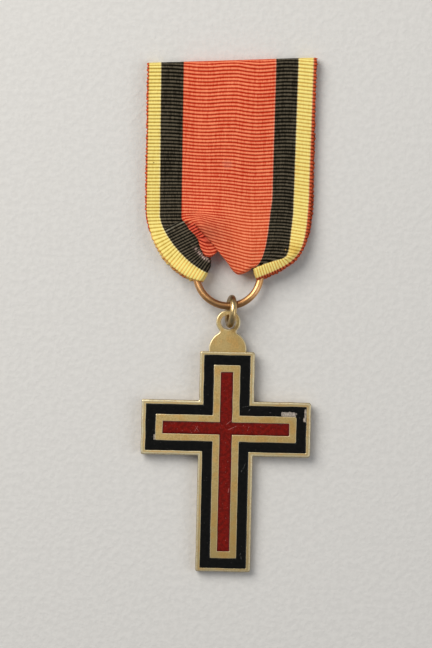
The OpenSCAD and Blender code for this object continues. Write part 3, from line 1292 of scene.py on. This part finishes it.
    def pattern(self, outside: Array, across: Array) -> Array:
        """The way along the cloth that the ribs are counted on, with one more row that closes the band.

        On the front it is mostly the fall below the top fold. On the flap it is shifted where the ribs lie
        slanting; on the left strip below its crease and on the right yellow edge they fan out from one
        lane; and in the bulge where the fold ends they hang through. Behind the front it goes on by the
        length of each lane, stretched to the same whole number of ribs for all lanes.

        Args:
            outside: the places.
            across: places across the cloth.

        Returns:
            The way, by row and lane.
        """
        closed = np.vstack([outside, outside[:1]])
        steps = np.linalg.norm(np.diff(closed, axis=0), axis=2)
        along = np.vstack([np.zeros((1, len(across))), np.cumsum(steps, axis=0)])
        count = self.flat_rows + self.bend_rows
        plan, run = closed[:count, :, :2], along[:count]
        x, y = plan[:, :, 0], plan[:, :, 1]
        s = (np.arange(count) - self.flat_rows) / self.bend_rows
        fall = closed[0, :, 1] - y
        way = self.drawn(fall) + self.wave(fall, across)
        way = way + self.slant(x, y) * smooth((across - 8.6) / 1.2)
        left, middle, right = (np.argmin(np.abs(across - at)) for at in (LEFT_BLACK, 9.8, RIGHT_FOLD))
        bulge_start, flap_start = np.searchsorted(across, [STRIP_END, FLAP_START])

        spine = self.followed(way[:, left], run[:, left], self.crease_at, self.left_pace, 0.0)
        tilt = np.interp(s, [0, 0.15, 0.25, 0.35, 0.6, 0.75, 1], [0, 4, 14, 30, 50, 54, 60])
        way[:, :left] = self.fan(plan[:, :left], plan[:, left], spine, tilt)
        strip = np.s_[self.flat_rows + int(self.crease_at * self.bend_rows) :, left:flap_start]
        tilt = np.interp(s, [0.65, 0.75, 1], [27, 36, 58])
        way[strip] = self.fan(plan[strip], plan[strip[0], left], spine[strip[0]], tilt[strip[0]])

        bulge = np.s_[:, bulge_start:flap_start]
        hang = self.drawn(fall) + 0.17 * (x + 4.3) ** 2
        level = np.argmin(np.abs(y[:, middle] - 16.6))
        hang += way[level, middle] - hang[level, middle]
        way[bulge] += ((hang - way) * smooth((17.4 - y) / 1.4))[bulge]

        spine = self.followed(way[:, right], run[:, right], self.right_fold_at, 1.0, self.right_gain)
        bends = [-1.2, 0, 0.25, 0.4, 0.5, 0.6, 0.7, 0.8, 1]
        tilt = np.interp(s, bends, [-5, -9, -12, -15, -24, -45, -60, -68, -74])
        way[:, right:] = self.fan(plan[:, right:], plan[:, right], spine, tilt)

        way = np.vstack([way, way[-1:] + along[count:] - along[count - 1]])
        way += self.rib_stray * ripple(closed[:, :, :2] * np.array([0.3, 1]), 15.0, 21)
        whole = way[-1] - way[0]
        rest = np.round(whole.mean() / self.pitch) * self.pitch - whole
        return way + rest * smooth((np.arange(len(way)) - count) / (len(way) - 1 - count))[:, None]

    def shell(self) -> Shell:
        """The whole band: outside and inside of the cloth, joined along both edges.

        The inside lies one thickness below the outside along the surface's normal, and the ribs are
        grooves of the absolute sine of the way along over the pitch.

        Returns:
            The mesh.
        """
        across = self.columns()
        front, back, top = Lanes(FRONT, across), Lanes(BACK, across), self.top(across)
        parts = [self.front(front, top, across), self.turn(front, back), self.back(back, top)]
        outside = np.vstack([*parts, self.fold(top)])
        way = self.pattern(outside, across)
        outside = self.sag(outside, across)
        forward = np.roll(outside, -1, axis=0) - np.roll(outside, 1, axis=0)
        sideways = np.gradient(outside, axis=1)
        sideways /= np.linalg.norm(sideways, axis=2, keepdims=True)
        normal = np.cross(sideways, -forward)
        normal /= np.linalg.norm(normal, axis=2, keepdims=True)
        crest = np.abs(np.sin(math.pi * way[:-1] / self.pitch))[:, :, None]
        values = self._tones(outside, front.unfaded_and_shaded, across)
        groove = self.rib_depth * (1 - crest) * (1 - self.slack_loss * values["slack"][:, :, None])
        gap = np.minimum(across, self.width - across)[:, None]
        thin = self.selvedge * (1 - smooth(gap / self.selvedge)) * self.cloth
        loop = np.exp(-gap / self.loop_w) * np.where(across < self.width / 2, -1, 1)[:, None]
        stray = self.loop_stray * (ripple(outside, 0.9, 17)[:, :, None] - 1)
        outside = outside + sideways * loop * (self.loop_out * crest + stray)
        above = outside - normal * (groove + thin)
        below = outside - normal * (self.cloth - groove - thin)
        points = np.concatenate([above, below[:, ::-1]], axis=1)
        section = np.concatenate([across, across[::-1], across[:1]])
        ways = np.concatenate([way, way[:, ::-1], way[:, :1]], axis=1)
        values = {key: np.concatenate([one, one[:, ::-1]], axis=1) for key, one in values.items()}
        quads = grid_quads(*points.shape[:2], True)
        return Shell(points.reshape(-1, 3), quads, grid_corners(section, ways), values)

    def _tones(self, outside: Array, unfaded_and_shaded: Array, across: Array) -> dict[str, Array]:
        """Where the cloth is deep crimson, brownish, paler, frayed or slack, and its painted light, shade
        and shadow.

        Args:
            outside: the places.
            unfaded_and_shaded: each lane's deep crimson at its end, from held dye and painted shade.
            across: places across the cloth.

        Returns:
            The named values, by row and lane.
        """
        x, y, z = np.moveaxis(outside, 2, 0)
        crease = self.past_crease(len(outside))
        strip, flap = across < STRIP_END, across > FLAP_START
        left, right = (across > 0.8) & (across < 3.9), (across > RIGHT_YELLOW) & (across < RIGHT_HEM)
        # Deep crimson under the flap's fold, partly painted shade, less on the lit bulge; plus a spot at
        # the flap's corner.
        crimson_and_shade = unfaded_and_shaded * smooth((20.3 - y) / 0.7) * (1 - 0.6 * smooth((16.6 - y) / 1.6))
        crimson_and_shade = crimson_and_shade + 0.6 * bell((x + 7.2) / 0.5, (y - 19.9) / 0.5) * flap
        # A duller, brownish patch on the flap below its fold, and a smaller one near its corner.
        brownish = bell((x + 5) / 3.4, (y - 17.8) / 2.8) + 0.4 * bell((x + 7.6) / 2.2, (y - 21.4) / 1.1)
        # Paler ribs just past the left strip's crease.
        worn = bell((crease - 0.02) / 0.02) * ((across > 4) & strip)
        # Painted light: the red lightens towards the lower right of the red stripe.
        painted_light = smooth((30 - y) / 12) * smooth((x + 3) / 5) * ((across > 11) & (across < 29))
        # Painted shade: darker yellow where the right yellow edge folds.
        fold_shade = 1.3 * bell((x - 14.3) / 1.5, (y - 14.2) / 1.5) * right
        # Painted light on the yellow strips near the ring and on the right yellow edge, and a rippled
        # yellowing of the red left edge.
        hem = np.clip(0.75 + 0.9 * ripple(outside, 2.2, 8), 0, 1) * (across < 0.8)
        bright = np.maximum(smooth((12.8 - y) / 1.5) * (left | right), 0.45 * right)
        loose = 0.8 + 1.6 * ripple(outside[:, :, :2], 0.6, 5)
        notch = 2.2 * bell((x + y - 7.25) / 0.4, y - 13.3) * strip
        slack = 0.4 * smooth((34 - y) / 6) - 0.35 * bell((y - 40.5) / 6)
        # Painted shadow in the hollows: below the bulge beside the strip's end, above the bulge, and under
        # the flap's edge.
        gap = 0.9 * ((across > STRIP_END) & (across < 9.2) & (y < 14.6) & (z > 0.5))
        gap = gap + bell((across - 9.8) / 0.9, (x + 9.3) / 0.6, (y - 19.8) / 0.6)
        gap = gap + bell((across - 10.7) / 0.4, (x + 4.6) / 0.9, (y - 16.1) / 0.9)
        return {
            "unfaded_and_shaded": crimson_and_shade, "brownish_patch": np.minimum(brownish, 1) * flap, "rubbed": worn, "painted_light": painted_light,
            "fold_shade": fold_shade, "bright": bright + hem * smooth((19.5 - y) / 2.5),
            "frayed": np.clip(notch * loose, 0, 1), "gap": gap,
            "slack": np.maximum(slack, smooth((22 - y) / 4) * strip),
        }

    def build(self) -> None:
        finish = ClothFinish("corded_silk", self.pitch, self.width, self.stripes, self.slack_loss)
        piece = self.shell().piece("ribbon_cloth", finish, "ribbon")


@dataclass(frozen=True)
class WireRing:
    """A ring of round wire, slightly uneven along its length.

    Attributes:
        node: the CAD node that it stands for.
        name: name of the piece.
        mean: mean radius.
        wire: thickness of the wire.
        turns: the 3 by 3 matrix of the turns that set its plane.
        place: its centre.
        unshaded: the y of its part free of painted shade, and how far this reaches both ways.
        finish: its metal.
        steps, sides: steps round the ring and round the wire.
        uneven: how much the wire's radius changes, as a share of it.
    """

    node: str
    name: str
    mean: float
    wire: float
    turns: Array
    place: tuple[float, float, float]
    unshaded: tuple[float, float]
    finish: MetalFinish
    steps: int = 192
    sides: int = 28
    uneven: float = 0.012

    def shell(self) -> Shell:
        """A circle of the wire's radius carried round the mean circle, its radius changed by a ripple.

        Returns:
            The mesh, where the ring lies.
        """
        turn = np.linspace(0, 2 * math.pi, self.steps + 1)[:, None]
        side = np.linspace(0, 2 * math.pi, self.sides + 1)
        corners = grid_corners(turn * self.mean, side * self.wire / 2)
        turn, side = turn[:-1], side[:-1]
        spot = spread(self.mean * np.cos(turn), self.mean * np.sin(turn), self.wire * np.cos(side))
        radius = self.wire / 2 * (1 + self.uneven * (ripple(spot, 2.5, 3) - 0.5))
        reach = self.mean + radius * np.cos(side)
        local = spread(reach * np.cos(turn), reach * np.sin(turn), radius * np.sin(side))
        points = local.reshape(-1, 3) @ self.turns.T + np.array(self.place)
        # Painted shade: the wire darkens away from its unshaded part, towards where it meets the other ring
        # or the ribbon.
        painted_shade = 0.6 * smooth((np.abs(points[:, 1] - self.unshaded[0]) - self.unshaded[1]) / 1.5)
        edge = 0.35 * smooth(0.5 + 0.5 * ripple(points, 3.0, 11)) * (1 - painted_shade)
        quads = grid_quads(self.steps, self.sides, True)
        return Shell(points, quads, corners, {"edge": edge, "painted_shade": painted_shade})

    def build(self) -> None:
        """Makes the ring."""
        self.shell().piece(self.name, self.finish, self.node)


BRASS = MetalFinish(
    "pale_brass",
    base=srgb(232, 203, 138),
    tarnish=srgb(184, 151, 90),
    warm=srgb(244, 184, 98),
    bright=srgb(252, 241, 204),
    shade_tone=srgb(112, 88, 44),
    roughness=0.4,
)
DULL_BRASS = MetalFinish(
    "dull_brass",
    base=srgb(216, 187, 130),
    tarnish=srgb(120, 92, 50),
    warm=srgb(222, 172, 98),
    bright=srgb(248, 232, 190),
    shade_tone=srgb(78, 54, 20),
    roughness=0.26,
)
BRONZE = MetalFinish(
    "coppery_bronze",
    base=srgb(222, 168, 110),
    tarnish=srgb(136, 90, 50),
    warm=srgb(228, 148, 96),
    bright=srgb(248, 206, 156),
    shade_tone=srgb(104, 68, 34),
    roughness=0.35,
)
BLACK_ENAMEL = EnamelFinish(
    "black_enamel_gloss",
    base=srgb(13, 12, 9),
    deep=srgb(6, 6, 4),
    dusty=srgb(84, 82, 78),
    ground=srgb(172, 160, 146),
    chips=(
        Patch((13.72, 3.36), (1.72, 0.57), 1.0),
        Patch((17.36, 3.66), (0.22, 1.0), 0.8),
        Patch((17.2, 2.3), (0.32, 0.5), 1.0),
        Patch((-15.6, -2.2), (0.2, 0.66), 0.8),
    ),
    scratches=(
        Scratch((4.2, 4.9), 0.8, 10, 0.05),
        Scratch((5.0, 4.1), 0.5, 60, 0.06),
        Scratch((4.2, -8.2), 1.0, 70, 0.05),
        Scratch((3.8, -9.0), 0.5, 50, 0.05),
        Scratch((9.64, 3.72), 0.2, 0, 0.12),
        Scratch((3.75, -27.6), 0.4, 65, 0.08),
        Scratch((3.98, -28.3), 0.35, 100, 0.08),
    ),
    roughness=0.13,
    wear=0.5,
)
RED_ENAMEL = EnamelFinish(
    "red_enamel_gloss",
    base=srgb(124, 18, 6),
    deep=srgb(98, 12, 3),
    dusty=srgb(172, 104, 96),
    ground=srgb(176, 150, 120),
    chips=(),
    scratches=(
        Scratch((-6.5, -0.2), 0.8, 60),
        Scratch((-6.3, -0.2), 0.8, 125),
        Scratch((0.7, 1.4), 1.0, 40),
        Scratch((1.5, 0.2), 1.3, 25),
        Scratch((4.9, 0.1), 0.6, 70),
        Scratch((0.9, -13.6), 0.6, 80, 0.1),
    ),
    roughness=0.2,
    wear=0.9,
)

# The small ring stands on its edge and leans by so many degrees.
LEAN = 10.0
RINGS = (
    WireRing(
        "suspension_ring", "big_ring", 7.0, 1.6, turned("x", -5.9), (-0.13, 8.95, 2.675), (9, 4.6), BRONZE
    ),
    WireRing(
        "jump_ring", "small_ring", 2.9, 1.48, turned("z", -4.7) @ turned("y", LEAN + 90),
        (0.4, 0.8, 2.9 * math.cos(math.radians(LEAN)) + 1.48 / 2), (1.1, 1.0), DULL_BRASS, 128,
    ),
)


@dataclass(frozen=True)
class Cross:
    """The brass cross with its lug and both enamels.

    Its own plane has its origin in the middle of the arms and its back at height 0.

    Attributes:
        span, top_arm, foot_arm, arm_w: width over the side arms, lengths of the others, width of an arm.
        plate_t, rim_w, end_rim_w: thickness, width of the rim, and its width at the top and the foot.
        black_w, band_w: widths of the black enamel's bed and of the raised band inside it.
        bed_depth, enamel_drop, enamel_clear: how deep the beds are, how far the enamel stays below the
            rim, and its gap to the brass.
        enamel_skin, enamel_crown: size of the enamel's rounded edge, and how much its middle rises.
        outer_round, inner_round, lug_round: radii of the metal's edges.
        dome_r, dome_rise, neck_r: the lug's shoulder, its height above the arm's end, the hollow corner.
        eye_y, eye_r, eye_hole_r: the eye's height and both its radii.
        lug_t, lug_root, lug_set_in: the lug's thickness, its reach into the plate, its height on it.
        at, turn, tilt: where the cross lies.
        hold: width of the strip that keeps a round edge's shading off the flat beside it.
        rim_wear_w: how far in the rim's face is worn bright.
        waver: how far the outline strays.
        arc_steps, stretch_steps, eye_steps: points of an arc, of a straight stretch and of the eye.
        corner_wear: how round each corner is worn, anticlockwise from the top left.
    """

    span: float = 37.1
    top_arm: float = 16.85
    foot_arm: float = 31.45
    arm_w: float = 12.0
    plate_t: float = 2.0
    rim_w: float = 0.92
    end_rim_w: float = 0.75
    black_w: float = 2.2
    band_w: float = 1.52
    bed_depth: float = 0.6
    enamel_drop: float = 0.1
    enamel_clear: float = 0.01
    enamel_skin: float = 0.05
    enamel_crown: float = 0.025
    outer_round: float = 0.24
    inner_round: float = 0.09
    dome_r: float = 4.14
    dome_rise: float = 0.44
    eye_y: float = 23.35
    eye_r: float = 2.66
    eye_hole_r: float = 1.6
    neck_r: float = 0.44
    lug_t: float = 1.05
    lug_root: float = 0.4
    lug_set_in: float = 0.4
    lug_round: float = 0.22
    at: tuple[float, float, float] = (-0.7, -24.84, 0.0)
    turn: float = -1.32
    tilt: float = 1.4
    hold: float = 0.05
    rim_wear_w: float = 0.55
    waver: float = 0.03
    arc_steps: int = 5
    stretch_steps: int = 10
    eye_steps: int = 22
    corner_wear: tuple[float, ...] = (1.0, 0.9, 0.8, 0.9, 0.9, 1.0, 1.3, 0.9, 1.7, 1.7, 0.9, 1.4)

    def placed(self, local: Array) -> Array:
        """Moves points from the cross's own plane to where it lies: tilted at its foot, turned, moved.

        Args:
            local: the points.

        Returns:
            The moved points.
        """
        foot = np.array([0, self.foot_arm, 0])
        points = (local + foot) @ turned("x", self.tilt).T - foot
        return points @ turned("z", self.turn).T + np.array(self.at)

    def outline(self, inset: Array) -> Array:
        """The outline of the cross at several insets, with rounded corners and a slight hand-made waver.

        Each corner is an arc whose centre lies one radius back along both edges, each edge between two
        corners is cut into even steps, and a ripple moves every point a little.

        Args:
            inset: distances from the outer edge.

        Returns:
            Insets by points by x and y.
        """
        narrow = self.rim_w - self.end_rim_w
        end = np.where(inset > self.rim_w, inset - narrow, inset * self.end_rim_w / self.rim_w)
        a, side = self.arm_w / 2 - inset, self.span / 2 - inset
        top, foot = self.top_arm - end, self.foot_arm - end
        x = np.stack([-a, -a, -side, -side, -a, -a, a, a, side, side, a, a], axis=1)
        y = np.stack([top, a, a, -a, -a, -foot, -foot, -a, -a, a, a, top], axis=1)
        corner = spread(x, y)
        into = corner - np.roll(corner, 1, axis=1)
        into /= np.linalg.norm(into, axis=2, keepdims=True)
        out = np.roll(into, -1, axis=1)
        levels = [0, self.rim_w, self.rim_w + self.black_w, 5.2]
        radius = np.interp(inset, levels, [0.32, 0.12, 0.2, 0.1])[:, None, None]
        radius = radius * np.array(self.corner_wear)[:, None]
        arc = [
            corner + radius * (out - into + into * math.sin(t) - out * math.cos(t))
            for t in np.linspace(0, math.pi / 2, self.arc_steps)
        ]
        first, last = corner - into * (radius + 2 * self.hold), corner + out * (radius + 2 * self.hold)
        share = np.arange(1, self.stretch_steps + 1) / (self.stretch_steps + 1)
        reach = [last * (1 - t) + np.roll(first, -1, axis=1) * t for t in share]
        made = np.stack([first, *arc, last, *reach], axis=2).reshape(len(inset), -1, 2)
        return made + self.waver * spread(ripple(made, 4.5, 31), ripple(made, 4.5, 32))

    def quarter(self, inset: float, height: float, radius: float, start: float) -> Array:
        """A quarter of a circle in the profile.

        Args:
            inset, height: its centre.
            radius: its radius.
            start: angle of its first point in degrees: 180 is towards the outer edge, 90 is up, and
                it runs clockwise by 90.

        Returns:
            Rows of inset and height.
        """
        angle = np.radians(start - np.linspace(0, 90, self.arc_steps))
        return spread(inset + radius * np.cos(angle), height + radius * np.sin(angle))

    def side(self, t: float, r: float, edge: Array | float, top: float) -> list[tuple[Array, float]]:
        """The parts of a profile's rounded outer side, from the back up, each with its worn edge.

        Args:
            t: thickness of the metal.
            r: radius of its edges.
            edge: how worn the upper one is.
            top: how worn the start of the face is.

        Returns:
            The parts.
        """
        return [
            ([[r + self.hold, 0.0]], 0.0),
            (self.quarter(r, r, r, 270), 0.3),
            (self.quarter(r, t - r, r, 180), edge),
            ([[r + self.hold, t]], top),
        ]

    @staticmethod
    def joined(parts: list[tuple[Array, float]]) -> tuple[Array, Array]:
        """A whole profile and the worn edge of each of its rows, from such parts."""
        edge = [np.broadcast_to(value, len(part)) for part, value in parts]
        return np.vstack([part for part, _ in parts]), np.concatenate(edge)

    def carried(self, profile: Array, edge: Array, closed: bool = False) -> Shell:
        """Carries a profile round the outline of the cross.

        Args:
            profile: rows of inset and height, from the bottom over the outside to the middle.
            edge: how much each row is a worn edge.
            closed: whether the profile closes on itself; otherwise flat faces close both ends.

        Returns:
            The mesh, where the cross lies.
        """
        plan = self.outline(profile[:, 0])
        rows, columns = plan.shape[:2]
        local = spread(plan[:, :, 0], plan[:, :, 1], profile[:, 1:]).reshape(-1, 3)
        index = np.arange(rows * columns).reshape(rows, columns)
        rims = [] if closed else [index[0, ::-1], index[-1]]
        # The outer round edge and side get a painted shade value of 0.8.
        outer = smooth((0.2 - np.repeat(profile[:, 0], columns)) / 0.15)
        painted_shade = self.painted_shade(local)
        values = {"edge": np.repeat(edge, columns) * (1 - painted_shade), "painted_shade": painted_shade + (0.8 - painted_shade) * outer}
        return self.closed(local, grid_quads(rows, columns, closed), rims, values)

    def closed(self, local: Array, quads: Indices, rims: list[Indices], values: dict) -> Shell:
        """The mesh where the cross lies, from points in the cross's own plane, which is its map."""
        order = np.concatenate([quads.ravel(), *rims])
        return Shell(self.placed(local), quads, local[order, :2] / MAP_MM, values, rims)

    @staticmethod
    def painted_shade(local: Array) -> Array:
        """How much painted shade darkens the metal: more towards the right arm and the foot, away from the
        light, and at the lug's base.

        Args:
            local: the points in the cross's own plane.

        Returns:
            One value for each point.
        """
        x, y = local[:, 0], local[:, 1]
        base = 0.22 * bell((y - 17.2) / 0.9)
        return 0.2 * smooth((x + 16) / 30) + 0.24 * smooth((-y - 3) / 24) + base

    def plate(self) -> Shell:
        """The plate with its rim, the two beds and the raised band between them.

        Returns:
            The mesh.
        """
        t, q, hold = self.plate_t, self.inner_round, self.hold
        bed, island = t - self.bed_depth, self.rim_w + self.black_w
        red = island + self.band_w
        worn = np.linspace(0.1, 0.9, self.arc_steps)
        parts = [
            *self.side(t, self.outer_round, worn, 1.0),
            ([[self.rim_wear_w, t], [self.rim_w - q - hold, t]], 0.15),
            (self.quarter(self.rim_w - q, t - q, q, 90), 0.7),
            ([[self.rim_w, bed], [island, bed]], 0.0),
            (self.quarter(island + q, t - q, q, 180), 0.7),
            ([[island + q + hold, t], [red - q - hold, t]], 0.0),
            (self.quarter(red - q, t - q, q, 90), 0.6),
            ([[red, bed]], 0.0),
        ]
        return self.carried(*self.joined(parts))

    def fill(self) -> tuple[float, float]:
        """The heights between which the enamels lie."""
        return self.plate_t - self.bed_depth + self.enamel_clear, self.plate_t - self.enamel_drop

    def black(self) -> Shell:
        """The black enamel: a band that fills its bed and stands a little crowned below the rim.

        Returns:
            The mesh.
        """
        low, level = self.fill()
        start, end = self.rim_w + self.enamel_clear, self.rim_w + self.black_w - self.enamel_clear
        skin = self.enamel_skin
        across = np.linspace(start + skin, end - skin, 9)
        top = spread(across, level + self.enamel_crown * np.sin(math.pi * (across - start) / (end - start)))
        sides = [[[start, low], [start, level - skin]], [[end, level - skin], [end, low]]]
        profile = np.vstack([sides[0], top, sides[1]])
        return self.carried(profile, np.zeros(len(profile)), True)

    def red(self) -> Shell:
        """The red enamel: a narrow cross in its bed, level in the middle.

        Returns:
            The mesh.
        """
        low, level = self.fill()
        start = self.rim_w + self.black_w + self.band_w + self.enamel_clear
        parts = [
            ([[start + self.enamel_skin, low], [start, low + self.enamel_skin]], 1.0),
            ([[start, level - 0.06], [start + 0.06, level - 0.01]], 1.0),
            ([[start + 0.3, level + 0.01]], 0.4),
            ([[start + 0.6, level + 0.02]], 0.0),
        ]
        return self.carried(*self.joined(parts))

    def lug_lines(self, inset: Array) -> tuple[Array, Array]:
        """The right half of the lug's outline and of its hole at several insets.

        The outline is the base, an arc of the shoulder, the hollow corner and an arc of the eye. An inset
        makes the first and the last radius smaller and the hollow one larger, about the same centres.

        Args:
            inset: distances from the edge of the metal.

        Returns:
            Outline and hole, each as insets by points by x and y, from the bottom to the top.
        """
        inset = inset[:, None]
        dome_y = self.top_arm + self.dome_rise
        reach = self.eye_y - dome_y
        far, near = self.dome_r + self.neck_r, self.eye_r + self.neck_r
        along = (far**2 - near**2 + reach**2) / (2 * reach)
        aside = math.sqrt(far**2 - along**2)
        rise, dip = math.atan2(along, aside), math.atan2(along - reach, aside)
        base = self.top_arm - self.lug_root
        dome = self.dome_r - inset
        first = np.arcsin((base - dome_y) / dome)
        up, steps = math.pi / 2, self.eye_steps
        arcs = (
            (0, dome_y, dome, first + (rise - first) * np.linspace(0, 1, 14)),
            (aside, dome_y + along, self.neck_r + inset, math.pi + np.linspace(rise, dip, 9)[1:-1]),
            (0, self.eye_y, self.eye_r - inset, np.linspace(dip, up, steps)),
            (0, self.eye_y, self.eye_hole_r + inset, np.linspace(-up, up, steps)),
        )
        lines = [spread(x + r * np.cos(turn), y + r * np.sin(turn)) for x, y, r, turn in arcs]
        return np.concatenate([spread(0 * inset, base), *lines[:3]], axis=1), lines[3]

    @staticmethod
    def mirrored(half: Array) -> Array:
        """A whole line from its right half: the half, then its mirror image back down, both ends shared."""
        back = half[:, -2:0:-1] * np.array([-1, 1])
        return np.concatenate([half, back], axis=1)

    def lug(self) -> Shell:
        """The lug: outline and hole carried up one rounded profile, with two flat faces above and below.

        Each flat face is one half of the lug, so that none of them has a hole.

        Returns:
            The mesh.
        """
        profile, edge = self.joined(self.side(self.lug_t, self.lug_round, 0.6, 0.0))
        outline, hole = self.lug_lines(profile[:, 0])
        half, rest = outline.shape[1], hole.shape[1]
        outline, hole = self.mirrored(outline), self.mirrored(hole)
        rows, wide, small = len(profile), outline.shape[1], hole.shape[1]
        plan = np.concatenate([outline, hole], axis=1)
        height = profile[:, 1:] + self.lug_set_in
        local = spread(plan[:, :, 0], plan[:, :, 1], height).reshape(-1, 3)
        index = np.arange(rows * (wide + small)).reshape(rows, -1)
        outer = index[:, :wide].ravel()[grid_quads(rows, wide, False)]
        inner = index[:, wide:].ravel()[grid_quads(rows, small, False)][:, ::-1]
        rims = []
        for row, way in ((index[-1], 1), (index[0], -1)):
            edge_line, hole_line = row[:wide], row[wide:]
            right = [edge_line[:half], hole_line[:rest][::-1]]
            left = [edge_line[half - 1 :], edge_line[:1], hole_line[:1], hole_line[rest - 1 :][::-1]]
            rims += [np.concatenate(side)[::way] for side in (right, left)]
        # The lug's outer side gets more painted shade.
        skirt = 0.5 * smooth((0.1 - np.repeat(profile[:, 0], wide + small)) / 0.1)
        values = {"edge": np.repeat(edge, wide + small), "painted_shade": self.painted_shade(local) + skirt}
        return self.closed(local, np.vstack([outer, inner]), rims, values)

    def build(self) -> None:
        """Makes the cross's four pieces."""
        self.plate().piece("cross_plate", BRASS, "cross_body")
        self.lug().piece("cross_lug", BRASS, "cross_body")
        self.black().piece("black_enamel_band", BLACK_ENAMEL, "black_enamel")
        self.red().piece("red_enamel_cross", RED_ENAMEL, "red_enamel")


@dataclass(frozen=True)
class Studio:
    """The pale floor, the soft lights and the camera straight above, in metres and watts.

    Attributes:
        frame_h: height of the photograph's frame.
        middle: its middle.
        lens, sensor: focal length and sensor width of the camera, in millimetres.
        floor_half, floor_z: half the floor's side and its height.
        lamps: place, side, power and colour of each light.
        room: colour and strength of the surroundings.
    """

    frame_h: float = 0.14256
    middle: tuple[float, float] = (-0.00286, -0.00198)
    lens: float = 180.0
    sensor: float = 36.0
    floor_half: float = 0.6
    floor_z: float = -0.00002
    lamps: tuple[tuple, ...] = (
        ("key", (-0.34, 0.34, 0.5), 0.5, 4.45, (1.0, 0.985, 0.96)),
        ("fill", (0.5, -0.1, 0.45), 0.4, 0.9, (0.97, 0.985, 1.0)),
    )
    room: tuple[Colour, float] = ((0.9, 0.93, 1.0, 1), 0.26)

    def floor(self) -> None:
        """A wide pale sheet just below the medal."""
        x, y = np.meshgrid([-self.floor_half, self.floor_half], [-self.floor_half, self.floor_half])
        mesh = bpy.data.meshes.new("floor")
        mesh.from_pydata(spread(x, y, self.floor_z).reshape(-1, 3).tolist(), [], [(0, 1, 3, 2)])
        mesh.materials.append(PaperFinish("pale_paper", srgb(222, 219, 213)).material())
        floor = enter("floor", mesh)

    def lights(self) -> None:
        """A large soft key from the upper left, a weak fill, and a pale surrounding.

        Each light is a square that looks at the medal.
        """
        for name, place, side, power, tone in self.lamps:
            data = bpy.data.lights.new(name, "AREA")
            data.energy, data.size, data.color = power, side, tone
            lamp = enter(name, data)
            pitch = math.acos(place[2] / math.hypot(*place))
            yaw = math.atan2(place[1], place[0]) + math.pi / 2
            lamp.location, lamp.rotation_euler = place, (pitch, 0, yaw)
        world = bpy.data.worlds.new("pale_room")
        world.use_nodes = True
        bpy.context.scene.world = world
        inputs = dict(zip(("Color", "Strength"), self.room))
        Bench(world.node_tree).feed(world.node_tree.nodes["Background"], inputs)

    def camera(self) -> None:
        """A long lens straight above, so far away that the photograph's frame fills its view."""
        data = bpy.data.cameras.new("camera")
        data.lens, data.sensor_width = self.lens, self.sensor
        data.clip_start, data.clip_end = 0.01, 10
        camera = enter("camera", data)
        camera.location = (*self.middle, self.frame_h * self.lens / self.sensor)
        bpy.context.scene.camera = camera

    def build(self) -> None:
        """Sets the stage."""
        self.floor()
        self.lights()
        self.camera()
        bpy.context.scene.view_settings.view_transform = "Standard"


def main() -> None:
    """Builds the stage, the cross, the rings and the ribbon."""
    logging.basicConfig(level=logging.INFO, format="%(name)s: %(message)s")
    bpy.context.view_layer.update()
    Studio().build()
    Cross().build()
    for ring in RINGS:
        ring.build()
    Ribbon().build()


if __name__ == "__main__":
    main()
